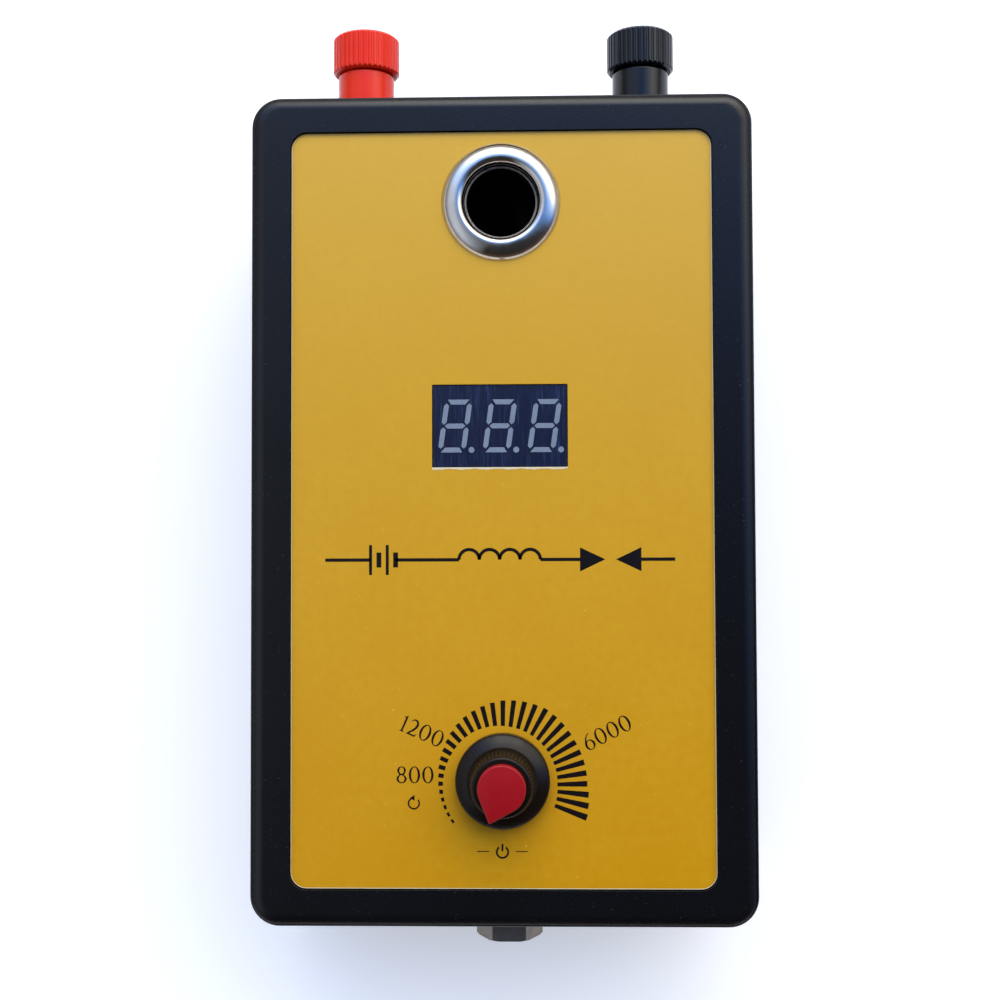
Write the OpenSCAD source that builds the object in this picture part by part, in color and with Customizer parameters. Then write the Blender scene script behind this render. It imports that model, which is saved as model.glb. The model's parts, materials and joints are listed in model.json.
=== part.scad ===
// Spark plug tester: a moulded box with a plug port, an LED display and a speed knob on its face,
// two binding posts on its top end and a power jack on its bottom end.
// Origin at the middle of the rear face, +Z out of the front face, +Y towards the posts. Millimetres.

/* [Case] */
// Width of the case
case_w = 85; // [80:0.5:100]
// Length of the case, without what stands on its ends
case_l = 140; // [134:0.5:180]
// Depth of the case, from the rear face to the front rim
case_d = 42; // [40:0.5:60]
// Thickness of the side walls
wall = 2.5; // [2:0.1:3.2]
// Thickness of the rear floor
floor_t = 2.5; // [2:0.1:4]
// Radius of the upright corners
corner_r = 5; // [4.2:0.1:8]
// Rounding of the rear edge
rear_edge_r = 2; // [0.5:0.1:3]
// Rounding of the lip that carries the cover
lip_edge_r = 0.4; // [0.2:0.05:0.6]

/* [Front cover] */
// Thickness of the cover's edge, from the lip to the rim
cover_edge_t = 2.2; // [2:0.1:4]
// Distance that the cover's edge stands back from the lip
cover_inset = 0.8; // [0.4:0.1:1.5]
// Radius of the cover's crowned outer edge
cover_edge_r = 3.1; // [2.6:0.1:6]
// Width of the crowned edge, which ends at a sharp corner
cover_edge_w = 1.9; // [0.5:0.1:2]
// Thickness of the cover's panel, from the rim to the underside
cover_t = 3; // [2.6:0.1:4]
// Width from the case's long side to the sunk panel
rim_side = 7; // [6:0.1:9]
// Width from the case's end to the sunk panel
rim_end = 6.6; // [6:0.1:9]
// Depth of the sunk panel below the rim
recess_d = 1; // [0.7:0.1:1.4]
// Corner radius of the sunk panel
recess_r = 2.8; // [1:0.1:5]
// Height of the tongue that locates the cover between the walls
tongue_h = 3.2; // [2.5:0.1:5]
// Thickness of the tongue
tongue_t = 1.6; // [1.2:0.1:2]
// Clearance between the tongue and the walls
tongue_gap = 0.2; // [0.1:0.05:0.4]

/* [Label] */
// Thickness of the laminated label
label_t = 0.4; // [0.2:0.05:0.6]
// Clearance between the label's edge and the sunk panel's wall
label_gap = 0.15; // [0.05:0.05:0.5]

/* [Case screws] */
// Distance of each screw from the case's outer faces
screw_inset = 7.6; // [7.4:0.1:8.4]
// Diameter of the bosses that the screws pass through
boss_d = 9; // [8:0.1:9.6]
// Height of the joint between boss and pillar above the rear face
boss_top = 20; // [17:0.5:24]
// Diameter of the pillars under the cover
pillar_d = 7; // [6:0.1:8]
// Thread diameter of the case screws
screw_d = 2.9; // [2.5:0.1:3.5]
// Length of the case screws below their heads
screw_l = 18; // [16:0.5:22]
// Diameter of the case screw heads
screw_head_d = 5.6; // [5:0.1:6.2]
// Height of the case screw heads
screw_head_h = 2.1; // [1.5:0.1:3]
// Depth of the screw recess in the rear face
screw_recess = 8; // [5:0.5:10]

/* [Plug port] */
// Distance of the port from the top end
port_from_end = 18.6; // [17:0.1:24]
// Diameter of the eyelet's flange
eyelet_d = 20.1; // [18:0.1:22]
// Height of the eyelet's crown above the label
eyelet_h = 1.5; // [1:0.1:1.8]
// Rounding of the eyelet's mouth
eyelet_mouth_r = 1.1; // [0.5:0.1:1.4]
// Sheet thickness of the eyelet's barrel
eyelet_t = 0.45; // [0.3:0.05:0.6]
// Thickness of the washer behind the cover
eyelet_washer_t = 0.6; // [0.4:0.1:1]
// Outer diameter of the washer behind the cover
eyelet_washer_d = 19.2; // [18:0.1:21]
// Thickness of the eyelet's rolled end
eyelet_roll_t = 0.6; // [0.4:0.1:1]
// Bore of the spark chamber, which takes a plug's insulator
chamber_bore_d = 11.7; // [11.5:0.1:12.4]
// Depth of the spark chamber's neck below the eyelet's crown
neck_drop = 2; // [1.3:0.1:2.5]
// Wall thickness of the spark chamber's neck
neck_t = 0.3; // [0.3:0.05:0.6]
// Wall thickness of the spark chamber
chamber_wall = 2; // [1.6:0.1:2.6]
// Thickness of the spark chamber's closed end
chamber_base_t = 1.5; // [1.2:0.1:2.5]
// Depth of the contact's pocket above the closed end
pocket_h = 9; // [8.4:0.1:11]
// Height of the ring that locates the spark chamber on the floor
ring_h = 4; // [3:0.1:6]
// Wall thickness of that ring
ring_t = 1.5; // [1:0.1:2.5]

/* [Plug contact] */
// Diameter of the contact button
button_d = 7.2; // [6.4:0.1:8]
// Height of the contact button
button_h = 3.6; // [3:0.1:4.4]
// Thickness of the contact button's top
button_top_t = 1.2; // [0.8:0.1:1.6]
// Wall thickness of the contact button's skirt
button_wall = 0.7; // [0.5:0.05:0.9]
// Travel of the contact button
button_travel = 2.5; // [1.5:0.1:3]
// Thickness of the terminal disc under the spring
terminal_t = 1; // [0.8:0.1:1.6]
// Wire diameter of the contact spring
spring_wire_d = 0.5; // [0.3:0.05:0.6]
// Turns of the contact spring
spring_turns = 4; // [3:1:5]

/* [Display] */
// Offset of the display from the middle of the face
display_x = -0.3; // [-3:0.1:3]
// Distance of the display's middle from the top end
display_from_end = 56.4; // [50:0.1:62]
// Width of the display
display_w = 22.5; // [20:0.1:26]
// Height of the display's face
display_h = 13.7; // [12:0.1:16]
// Thickness of the display
display_t = 8; // [6:0.1:10]
// Depth of the display's face below the label
display_sink = 0.2; // [0.05:0.05:0.4]
// Clearance round the display in its window
window_gap = 0.12; // [0.05:0.01:0.3]
// Height of a digit
digit_h = 8.9; // [7:0.1:10]
// Width of a digit before it is slanted
digit_w = 4.7; // [4:0.1:5.4]
// Distance between digits
digit_pitch = 7.5; // [7:0.1:8]
// Slant of the digits in degrees
digit_slant = 8; // [0:1:12]
// Thickness of a segment
segment_t = 0.85; // [0.6:0.05:1]
// Depth of the segments in the display's face
segment_depth = 0.4; // [0.2:0.1:0.8]
// Size of the display board along its long side
display_board_w = 48; // [46:0.5:56]
// Size of the display board along its short side
display_board_h = 20; // [18:0.5:26]
// Distance between the display board's screws
display_screw_pitch = 38; // [36:0.5:42]

/* [Speed control] */
// Distance of the knob from the bottom end
pot_from_end = 24.8; // [20:0.1:32]
// Diameter of the knob's skirt
knob_d = 15.6; // [15:0.1:22]
// Height of the knob's black body
knob_h = 7.8; // [7:0.1:12]
// Height of the knob's skirt
knob_skirt_h = 3.4; // [3:0.1:4.5]
// Diameter of the knob's upper part at its foot
knob_foot_d = 11.2; // [10.6:0.1:12.4]
// Diameter of the knob's upper part at its top
knob_top_d = 9.9; // [9:0.1:10.6]
// Gap between the knob and the label
knob_gap = 0.5; // [0.3:0.1:1]
// Radius of the pointer cap's round end
pointer_r = 3.9; // [3:0.1:4.4]
// Distance of the pointer's tip from the knob's axis
pointer_reach = 5.7; // [5:0.1:7.5]
// Thickness of the pointer cap
pointer_t = 1.6; // [1:0.1:2.5]
// Direction of the pointer when switched off, in degrees
pointer_angle = 250; // [225:1:270]
// Diameter of the control's shaft
shaft_d = 6; // [5.5:0.1:6.2]
// Diameter of the threaded bushing
bushing_d = 7; // [6.8:0.1:7.4]
// Length of the threaded bushing
bushing_l = 5.4; // [5:0.1:6]
// Width of the bushing's nut across flats
pot_nut_af = 10; // [9.4:0.1:10.6]
// Thickness of the bushing's nut
pot_nut_t = 1.8; // [1.4:0.1:2.2]
// Thickness of the bushing's washer
pot_washer_t = 0.5; // [0.4:0.1:0.8]
// Diameter of the control's can
can_d = 16.4; // [16:0.1:20]
// Height of the control's can
can_h = 9; // [8.5:0.1:12]
// Height of the switch behind the can
pot_switch_h = 6; // [5:0.1:8]
// Width of the switch behind the can
pot_switch_w = 13; // [11:0.1:15]

/* [Binding posts] */
// Distance between the two posts
post_pitch = 49.4; // [40:0.1:51]
// Sideways offset of the pair of posts
post_shift = 0.1; // [-1.5:0.1:1.5]
// Depth of the posts' axes below the front rim
post_depth = 16; // [13:0.1:20]
// Diameter of the knurled cap
cap_d = 11.8; // [11:0.1:14]
// Length of the knurled cap
cap_l = 6.7; // [6.2:0.1:10]
// Number of ribs round the cap
cap_ribs = 40; // [24:1:44]
// Diameter of the collar
collar_d = 10; // [9.4:0.1:12]
// Length of the collar
collar_l = 8.2; // [7:0.1:12]
// Diameter of the hole in the case for a post
post_hole_d = 8.2; // [7.6:0.1:9]
// Diameter of the stud's thread
stud_d = 6; // [5.6:0.1:6.4]
// Bore of the socket in the stud
socket_d = 4; // [3.9:0.05:4.2]
// Depth of the socket in the stud
socket_depth = 12; // [10:0.1:13]
// Width of the stud's nuts across flats
post_nut_af = 10; // [9:0.1:10.6]
// Thickness of each of the stud's nuts
post_nut_t = 3; // [2:0.1:4]
// Thickness of the insulating bush inside the wall
bush_t = 3; // [2:0.1:5]
// Thickness of the solder tag
tag_t = 0.6; // [0.4:0.1:1]
// Length of the solder tag below the post's axis
tag_l = 11; // [8:0.1:13]

/* [Power jack] */
// Sideways offset of the jack
jack_x = 0.8; // [-3:0.1:3]
// Depth of the jack's axis below the front rim
jack_depth = 14; // [13:0.1:18]
// Diameter of the jack's threaded barrel
jack_d = 8; // [7.6:0.1:8.4]
// Width of the jack's nut across flats
jack_nut_af = 10; // [9.8:0.1:12]
// Thickness of the jack's nut
jack_nut_t = 4.4; // [2:0.1:5]
// Length of barrel that stands out of the nut
jack_proud = 0.2; // [0.2:0.1:2]
// Bore of the jack for the plug's sleeve
jack_bore_d = 5.9; // [5.7:0.1:6.1]
// Depth of the jack's bore
jack_bore_depth = 10; // [9:0.1:12]
// Diameter of the jack's pin
jack_pin_d = 2.1; // [1.9:0.1:2.5]

/* [Main board] */
// Width of the main board
board_w = 62; // [58:0.5:66]
// Thickness of the boards
board_t = 1.6; // [1:0.1:2]
// Height of the posts that carry the main board above the floor
standoff_h = 4; // [3:0.1:6]
// Diameter of the posts that carry the boards
standoff_d = 6; // [5:0.1:7]
// Distance of the main board from the bottom end
board_from_end = 12; // [11:0.5:14]
// Distance between the main board and the chamber's ring
board_ring_gap = 7; // [6:0.5:10]
// Distance of the board's screws from its corners
board_screw_inset = 4; // [3.5:0.1:5]
// Thread diameter of the board screws
board_screw_d = 2.2; // [2:0.1:2.6]
// Length of the board screws below their heads
board_screw_l = 5; // [4:0.1:5.4]
// Width of the step-up coil's bobbin
coil_w = 18; // [16:0.1:20]
// Length of the step-up coil's bobbin
coil_l = 20; // [17:0.1:24]
// Width of the coil core's legs
core_leg = 7; // [6:0.1:8]

/* [Fits] */
// Radial clearance of parts that turn or slide
running_gap = 0.05; // [0.02:0.01:0.1]
// Clearance round pieces that are pushed or screwed in
close_gap = 0.05; // [0.02:0.01:0.1]
// Clearance of parts that pass through a hole
hole_gap = 0.15; // [0.1:0.05:0.3]

/* [Hidden] */
$fn = 64;
over = 1;

z_rim = case_d;
z_lip = z_rim - cover_edge_t;
z_recess = z_rim - recess_d;
z_label = z_recess + label_t;
z_under = z_rim - cover_t;

cover_w = case_w - 2 * cover_inset;
cover_l = case_l - 2 * cover_inset;
cover_corner_r = corner_r - cover_inset;
inner_w = case_w - 2 * wall;
inner_l = case_l - 2 * wall;
inner_r = corner_r - wall;
tongue_w = inner_w - 2 * tongue_gap;
tongue_len = inner_l - 2 * tongue_gap;
recess_w = case_w - 2 * rim_side;
recess_l = case_l - 2 * rim_end;
label_w = recess_w - 2 * label_gap;
label_l = recess_l - 2 * label_gap;

screw_x = case_w / 2 - screw_inset;
screw_y = case_l / 2 - screw_inset;
screw_recess_r = screw_head_d / 2 + hole_gap;
pilot_l = screw_recess + screw_l - boss_top + over;

port_y = case_l / 2 - port_from_end;
eyelet_r = eyelet_d / 2;
neck_r = chamber_bore_d / 2 + neck_t;
eyelet_bore_r = neck_r + hole_gap;
barrel_r = eyelet_bore_r + eyelet_t;
port_hole_r = barrel_r + hole_gap;
z_washer = z_under - eyelet_washer_t;
z_roll = z_washer - eyelet_roll_t;
chamber_r = chamber_bore_d / 2 + chamber_wall;
chamber_top = z_roll - 0.3;
z_neck = z_label + eyelet_h - neck_drop;
z_seat = floor_t + chamber_base_t;
z_shoulder = z_seat + pocket_h;
pocket_r = button_d / 2 + running_gap;
z_spring = z_seat + terminal_t;
z_button = z_spring + button_travel + 0.1;
spring_l = z_button + button_h - button_top_t - z_spring;
spring_r = button_d / 2 - button_wall - spring_wire_d / 2 - 0.2;
terminal_pin_r = terminal_t / 2 - close_gap;
terminal_pin_z = z_seat + terminal_pin_r + close_gap;
terminal_pin_l = chamber_r + ring_t + 1;
ring_r = chamber_r + hole_gap;
ring_slot_w = 5;
washer_tab_l = 4;
washer_tab_w = 3;

display_y = case_l / 2 - display_from_end;
z_display = z_label - display_sink;
z_display_board = z_display - display_t;
display_pin_r = 0.25;
pin_pitch = 2.54;
display_pin_rows = 10.16;
display_pins_each = 6;
display_pin_l = board_t + 1;
dot_r = 0.5;
segment_gap = 0.2;
segment_room = 0.08;
dot_gap = 0.45;

pot_y = pot_from_end - case_l / 2;
bushing_r = bushing_d / 2;
shaft_r = shaft_d / 2;
z_pot = z_under;
pot_plate_t = 1.2;
z_can = z_pot - pot_plate_t;
can_r = can_d / 2;
can_wall = 0.5;
wafer_t = 1.3;
wafer_r = can_r - can_wall - close_gap;
wafer_tongue_w = 11;
wafer_tongue_l = 3;
wiper_t = 1.6;
lug_w = 1.8;
lug_t = 0.4;
lug_l = 5;
lug_pitch = 4;
z_wiper = z_can - wafer_t - 0.3 - wiper_t;
z_pot_washer = z_label;
z_pot_nut = z_pot_washer + pot_washer_t;
z_bushing = z_pot + bushing_l;
z_knob = z_label + knob_gap;
z_knob_top = z_knob + knob_h;
knob_hollow_r = pot_nut_af / sqrt(3) + 0.5;
z_knob_hollow = z_pot_nut + pot_nut_t + 0.4;
z_knob_neck = z_bushing + 0.4;
knob_roof_t = 1;
z_shaft_top = z_knob_top - knob_roof_t - 0.2;
knob_edge_h = 1.9;
pointer_tip_w = 0.5;

post_x = [post_shift - post_pitch / 2, post_shift + post_pitch / 2];
post_z = z_rim - post_depth;
stud_r = stud_d / 2;
spigot_r = post_hole_d / 2 - hole_gap;
stud_flange_r = spigot_r;
stud_flange_t = 1;
cap_gap = 0.15;
cap_end_t = 1.3;
insert_r = stud_r + running_gap + 1;
insert_lift = 0.3;
insert_l = cap_l + cap_gap - cap_end_t - insert_lift - 0.15;
stud_out = collar_l + insert_lift + insert_l;
nut_u = -wall - bush_t;
tag_u = nut_u - post_nut_t;
stud_in = -tag_u + tag_t + post_nut_t + 1.5;
tag_w = 4;
wire_hole_r = 0.9;
post_nut_corner = post_nut_af / sqrt(3);
post_clear = 0.5;

jack_z = z_rim - jack_depth;
jack_r = jack_d / 2;
jack_flange_t = 1.2;
jack_flange_r = jack_r + 1.6;
jack_out = jack_nut_t + jack_proud;
jack_in = jack_bore_depth - jack_out;
jack_back_l = 4;
jack_plug_r = jack_bore_d / 2 + 0.5;
jack_root_r = jack_pin_d / 2 + 0.3;
jack_pin_short = 1;
jack_pin_round = 0.4;
jack_tag_l = 5;
jack_tag_w = 1.6;
jack_tag_t = 0.4;
jack_tag_pitch = 4.4;

z_board = floor_t + standoff_h;
z_top = z_board + board_t;
board_y0 = board_from_end - case_l / 2;
board_y1 = port_y - ring_r - ring_t - board_ring_gap;
board_l = board_y1 - board_y0;
board_screw_x = board_w / 2 - board_screw_inset;
board_screw_y = [board_y0 + board_screw_inset, board_y1 - board_screw_inset];
standoff_r = standoff_d / 2;
small_head_r = board_screw_d * 0.9;
small_head_h = 1.4;

coil_wall = 1.2;
coil_gap = 0.2;
bobbin_w = core_leg + 2 * coil_gap + 2 * coil_wall;
coil_y = board_y1 - 6.5 - coil_l / 2 - core_leg / 2;
coil_z = z_top + coil_w / 2;
core_window = coil_w / 2 + coil_gap;

winding_l = coil_l - 2 * (coil_gap + coil_wall + close_gap);
winding_w = coil_w - 1;
winding_r = 2.5;

lug_end = pot_y + can_r + 1 + lug_l;
lug_land_y = lug_end + 1;
sink_inset = 7;
sink_from_board_end = 28;
sink_x = board_w / 2 - sink_inset;
sink_y = board_y0 + sink_from_board_end;
sink_h = 18;
sink_w = 18;
sink_t = 1.6;
sink_fin_l = 5;
sink_fins = 4;
transistor_w = 10;
transistor_t = 4.4;
transistor_body_h = 9;
transistor_tab_t = 1.3;
transistor_tab_h = 14;
transistor_leg_l = 4;
transistor_leg_w = 0.8;
transistor_leg_t = 0.6;
transistor_leg_back = 2.4;
tall_cap_r = 5;
tall_cap_h = 16;
tall_cap_inset = 11;
tall_cap_from_board_end = 26;
tall_cap_groove = 0.5;
flat_cap = [8, 18, 12];
flat_cap_r = 1.5;
flat_cap_inset = 8;
chip_w = 22;
chip_d = 6.4;
chip_h = 3.4;
chip_lift = 0.6;
chip_pins = 9;
chip_pin_w = 0.5;
chip_pin_d = 0.8;
chip_pin_h = 2;
chip_step = 8;
chip_y = lug_land_y + chip_step;
resistor_r = 1.1;
resistor_l = 6.2;
resistor_pitch = 5;
resistor_y = (chip_y + chip_d / 2 + coil_y - winding_l / 2 - resistor_l) / 2;
wire_r = 0.7;
hv_wire_r = 1.4;

// Where the wires run: each route ends in the height of the main board's top
wire_foot = 4;
post_wire_y = case_l / 2 + tag_u - tag_t / 2;
post_land_x = board_w / 2 - 11;
post_land_y = board_y1 - 3;
post_bend = [post_land_x + 2, board_y1 + 3.5, z_top + 3];
function post_route(side) = let (s = side == 0 ? -1 : 1)
    [[post_x[side], post_wire_y, post_z - tag_l], [post_x[side], post_wire_y, z_top + wire_foot],
    [s * post_bend[0], post_bend[1], post_bend[2]], [s * post_land_x, post_land_y, z_top + 6],
    [s * post_land_x, post_land_y, z_top]];

jack_wire_y = jack_in + jack_back_l + jack_tag_l - case_l / 2;
jack_tag_x = [jack_x - jack_tag_pitch / 2, jack_x + jack_tag_pitch / 2];
jack_land_x = 9;
jack_land_y = board_y0 + 5;
function jack_route(side) = let (s = side == 0 ? -1 : 1)
    [[jack_tag_x[side], jack_wire_y, jack_z], [jack_tag_x[side], jack_wire_y + 1, jack_z],
    [s * (jack_land_x - 1), jack_wire_y + 1, jack_z - 8], [s * jack_land_x, jack_land_y, z_top + wire_foot],
    [s * jack_land_x, jack_land_y, z_top]];

earth_y = port_y - eyelet_washer_d / 2 - washer_tab_l;
earth_z = z_under - wire_r - 0.1;
earth_land = [16, board_y1 - 6.5];
earth_route = [[0, earth_y, earth_z], [0, earth_y - 2, earth_z],
    [earth_land[0] / 2, earth_y - 4, earth_z - 5], [earth_land[0], earth_land[1] + 1, earth_z - 10],
    [earth_land[0], earth_land[1], z_top + wire_foot], [earth_land[0], earth_land[1], z_top]];

hv_start_y = port_y - terminal_pin_l;
hv_pass = 1.5;
hv_route = [[0, hv_start_y, terminal_pin_z], [0, hv_start_y - 2, terminal_pin_z],
    [0, board_y1 + hv_pass, z_top + 1], [0, board_y1 - hv_pass, coil_z],
    [0, coil_y + coil_l / 2 + core_leg / 2 + coil_gap, coil_z]];

lug_wire_z = z_can - wafer_t - lug_t / 2;
display_wires = 5;
display_wire_pitch = 2;
display_wire_x = display_x + display_board_w / 2 - 1.5;
display_wire_z = z_display_board - board_t;
// Three wires pass on one side of the board's screw and two on the other
function display_wire_y(k) = display_y
    + (k < 3 ? 1 : -1) * (small_head_r + wire_r + close_gap + display_wire_pitch * (k % 3 + 0.25));

// Shared shapes

// Square notch less a quarter circle, for rounding a corner at the origin's far side
module corner_notch(r) {
    difference() {
        square([r + over, r + over]);
        circle(r);
    }
}

module rounded_rect(w, l, r) {
    difference() {
        square([w, l], center = true);
        for (turn = [0:3]) {
            side = turn % 2 == 0 ? [w, l] : [l, w];
            rotate(90 * turn)
                translate([side[0] / 2 - r, side[1] / 2 - r])
                    corner_notch(r);
        }
    }
}

// Cross-section of a slab's edge: flat at x = 0, with its two outer corners rounded,
// the upper one by a full quarter circle or only over the width given
module edge_profile(depth, h, low_r, high_r, high_w = undef) {
    difference() {
        square([depth, h]);
        translate([depth - (is_undef(high_w) ? high_r : high_w), h - high_r])
            corner_notch(high_r);
        translate([depth - low_r, low_r])
            mirror([0, 1])
                corner_notch(low_r);
    }
}

// Slab with round upright corners and rounded lower and upper edges
module rounded_slab(w, l, h, corner, low_r, high_r, high_w = undef) {
    half = [w / 2 - corner, l / 2 - corner];
    translate([-half[0], -half[1], 0])
        cube([2 * half[0], 2 * half[1], h]);
    for (turn = [0:3]) {
        reach = turn % 2 == 0 ? half : [half[1], half[0]];
        rotate(90 * turn) {
            translate([reach[0], reach[1], 0])
                rotate([90, 0, 0])
                    linear_extrude(2 * reach[1])
                        edge_profile(corner, h, low_r, high_r, high_w);
            translate([reach[0], reach[1], 0])
                rotate_extrude(angle = 90)
                    edge_profile(corner, h, low_r, high_r, high_w);
        }
    }
}

module tube(r, bore_r, h) {
    difference() {
        cylinder(r = r, h = h);
        translate([0, 0, -over])
            cylinder(r = bore_r, h = h + 2 * over);
    }
}

// Hexagon nut with both ends chamfered
module hex_nut(af, bore_r, h) {
    corner = af / sqrt(3);
    chamfer = (corner - af / 2) * 0.35;
    difference() {
        intersection() {
            cylinder(r = corner, h = h, $fn = 6);
            rotate_extrude()
                polygon([[0, 0], [corner - chamfer * 1.6, 0], [corner + over, chamfer + over * 0.6],
                    [corner + over, h - chamfer - over * 0.6], [corner - chamfer * 1.6, h], [0, h]]);
        }
        translate([0, 0, -over])
            cylinder(r = bore_r, h = h + 2 * over);
    }
}

// Pan head screw pointing up, with its head below z = 0 and a cross recess in the head
module pan_screw(d, l, head_d, head_h) {
    slot_w = head_d * 0.16;
    slot_l = head_d * 0.58;
    difference() {
        union() {
            cylinder(d = d, h = l - d / 2);
            translate([0, 0, l - d / 2])
                cylinder(d1 = d, d2 = d * 0.4, h = d / 2);
            translate([0, 0, -head_h])
                rotate_extrude()
                    polygon([[0, 0], [head_d * 0.34, 0], [head_d * 0.46, head_h * 0.35],
                        [head_d / 2, head_h * 0.75], [head_d / 2, head_h], [0, head_h]]);
        }
        for (turn = [0, 90])
            rotate(turn)
                translate([-slot_l / 2, -slot_w / 2, -head_h - over])
                    cube([slot_l, slot_w, head_h * 0.6 + over]);
    }
}

module at_case_screws() {
    for (x = [-screw_x, screw_x], y = [-screw_y, screw_y])
        translate([x, y, 0])
            children();
}

module at_board_screws() {
    for (x = [-board_screw_x, board_screw_x], y = board_screw_y)
        translate([x, y, 0])
            children();
}

module at_port() {
    translate([0, port_y, 0])
        children();
}

module at_display() {
    translate([display_x, display_y, 0])
        children();
}

module at_display_screws() {
    at_display()
        for (x = [-display_screw_pitch / 2, display_screw_pitch / 2])
            translate([x, 0, 0])
                children();
}

module at_pot() {
    translate([0, pot_y, 0])
        children();
}

// Places a post so that its own +Z runs out of the top end, from the wall's outer face
module at_post(side) {
    translate([post_x[side], case_l / 2, post_z])
        rotate([-90, 0, 0])
            children();
}

// Places the jack so that its own +Z runs out of the bottom end, from the wall's outer face
module at_jack() {
    translate([jack_x, -case_l / 2, jack_z])
        rotate([90, 0, 0])
            children();
}

// Wires: a route's corners are cut twice, then a tube of eight sides follows it
function unit(v) = v / norm(v);
function cut_corners(p) = [p[0],
    for (i = [0:len(p) - 2]) each [p[i] * 0.75 + p[i + 1] * 0.25, p[i] * 0.25 + p[i + 1] * 0.75],
    p[len(p) - 1]];
function route_tangent(p, i) = unit(p[min(i + 1, len(p) - 1)] - p[max(i - 1, 0)]);

// Closed tube along points, whose rings start from a direction that no stretch runs along
module swept_tube(path, r, across, sides = 8) {
    rings = len(path);
    points = [for (i = [0:rings - 1])
        let (t = route_tangent(path, i), u = unit(across - (across * t) * t), v = cross(t, u))
        for (k = [0:sides - 1])
            path[i] + r * (cos(360 * k / sides) * u + sin(360 * k / sides) * v)];
    walls = [for (i = [0:rings - 2], k = [0:sides - 1])
        let (a = i * sides + k, b = i * sides + (k + 1) % sides)
        each [[a, b + sides, b], [a, a + sides, b + sides]]];
    first = [for (k = [1:sides - 2]) [0, k, k + 1]];
    end = (rings - 1) * sides;
    last = [for (k = [1:sides - 2]) [end, end + k + 1, end + k]];
    polyhedron(points, concat(walls, first, last));
}

module wire(route, r, across) {
    swept_tube(cut_corners(cut_corners(route)), r, across);
}

// Case

module rear_case() {
    color("#1b1d22")
        difference() {
            union() {
                difference() {
                    rounded_slab(case_w, case_l, z_lip, corner_r, rear_edge_r, lip_edge_r);
                    translate([0, 0, floor_t])
                        linear_extrude(z_lip)
                            rounded_rect(inner_w, inner_l, inner_r);
                }
                at_case_screws()
                    translate([0, 0, floor_t])
                        cylinder(d = boss_d, h = boss_top - floor_t);
                at_board_screws()
                    translate([0, 0, floor_t])
                        cylinder(r = standoff_r, h = standoff_h);
                at_port()
                    translate([0, 0, floor_t])
                        difference() {
                            tube(ring_r + ring_t, ring_r, ring_h);
                            translate([-ring_slot_w / 2, -ring_r - ring_t - over, -over])
                                cube([ring_slot_w, ring_r, ring_h + 2 * over]);
                        }
            }
            at_case_screws() {
                translate([0, 0, -over])
                    cylinder(r = screw_recess_r, h = screw_recess + over);
                cylinder(r = screw_d / 2 + hole_gap, h = boss_top + over);
            }
            at_board_screws()
                translate([0, 0, z_board - board_screw_l])
                    cylinder(r = board_screw_d / 2 + close_gap, h = board_screw_l + over);
            for (side = [0, 1])
                at_post(side)
                    translate([0, 0, -wall - over])
                        cylinder(d = post_hole_d, h = wall + 2 * over);
            at_jack()
                translate([0, 0, -wall - over])
                    cylinder(r = jack_r + hole_gap, h = wall + 2 * over);
        }
}

module front_cover() {
    display_boss_h = z_under - z_display_board;
    color("#1d1f25")
        difference() {
            union() {
                translate([0, 0, z_lip])
                    rounded_slab(cover_w, cover_l, cover_edge_t, cover_corner_r, 0.1,
                        cover_edge_r, cover_edge_w);
                translate([0, 0, z_under])
                    linear_extrude(z_lip - z_under)
                        rounded_rect(tongue_w, tongue_len, inner_r);
                translate([0, 0, z_lip - tongue_h])
                    linear_extrude(tongue_h - z_lip + z_under)
                        difference() {
                            rounded_rect(tongue_w, tongue_len, inner_r);
                            square([tongue_w - 2 * tongue_t, tongue_len - 2 * tongue_t], center = true);
                        }
                at_case_screws()
                    translate([0, 0, boss_top])
                        cylinder(d = pillar_d, h = z_under - boss_top);
                at_display_screws()
                    translate([0, 0, z_display_board])
                        cylinder(r = standoff_r, h = display_boss_h);
            }
            translate([0, 0, z_recess])
                linear_extrude(recess_d + over)
                    rounded_rect(recess_w, recess_l, recess_r);
            at_port()
                translate([0, 0, z_under - over])
                    cylinder(r = port_hole_r, h = cover_t + 2 * over);
            at_display()
                translate([-display_w / 2 - window_gap, -display_h / 2 - window_gap, z_under - over])
                    cube([display_w + 2 * window_gap, display_h + 2 * window_gap, cover_t + 2 * over]);
            at_pot()
                translate([0, 0, z_under - over])
                    cylinder(r = bushing_r + hole_gap, h = cover_t + 2 * over);
            at_case_screws()
                translate([0, 0, boss_top - over])
                    cylinder(r = screw_d / 2 + close_gap, h = pilot_l + over);
            for (side = [0, 1])
                at_post(side)
                    translate([0, 0, -stud_in])
                        cylinder(r = post_nut_corner + post_clear, h = stud_in - wall);
            at_display_screws()
                translate([0, 0, z_display_board - over])
                    cylinder(r = board_screw_d / 2 + close_gap, h = board_screw_l);
        }
}

module front_label() {
    color("#d2a33c")
        translate([0, 0, z_recess])
            linear_extrude(label_t)
                difference() {
                    rounded_rect(label_w, label_l, recess_r - label_gap);
                    translate([0, port_y])
                        circle(port_hole_r);
                    translate([display_x, display_y])
                        square([display_w + 2 * window_gap, display_h + 2 * window_gap], center = true);
                    translate([0, pot_y])
                        circle(bushing_r + hole_gap);
                }
}

module case_screws() {
    color("silver")
        at_case_screws()
            translate([0, 0, screw_recess])
                pan_screw(screw_d, screw_l, screw_head_d, screw_head_h);
}

// Plug port

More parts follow.
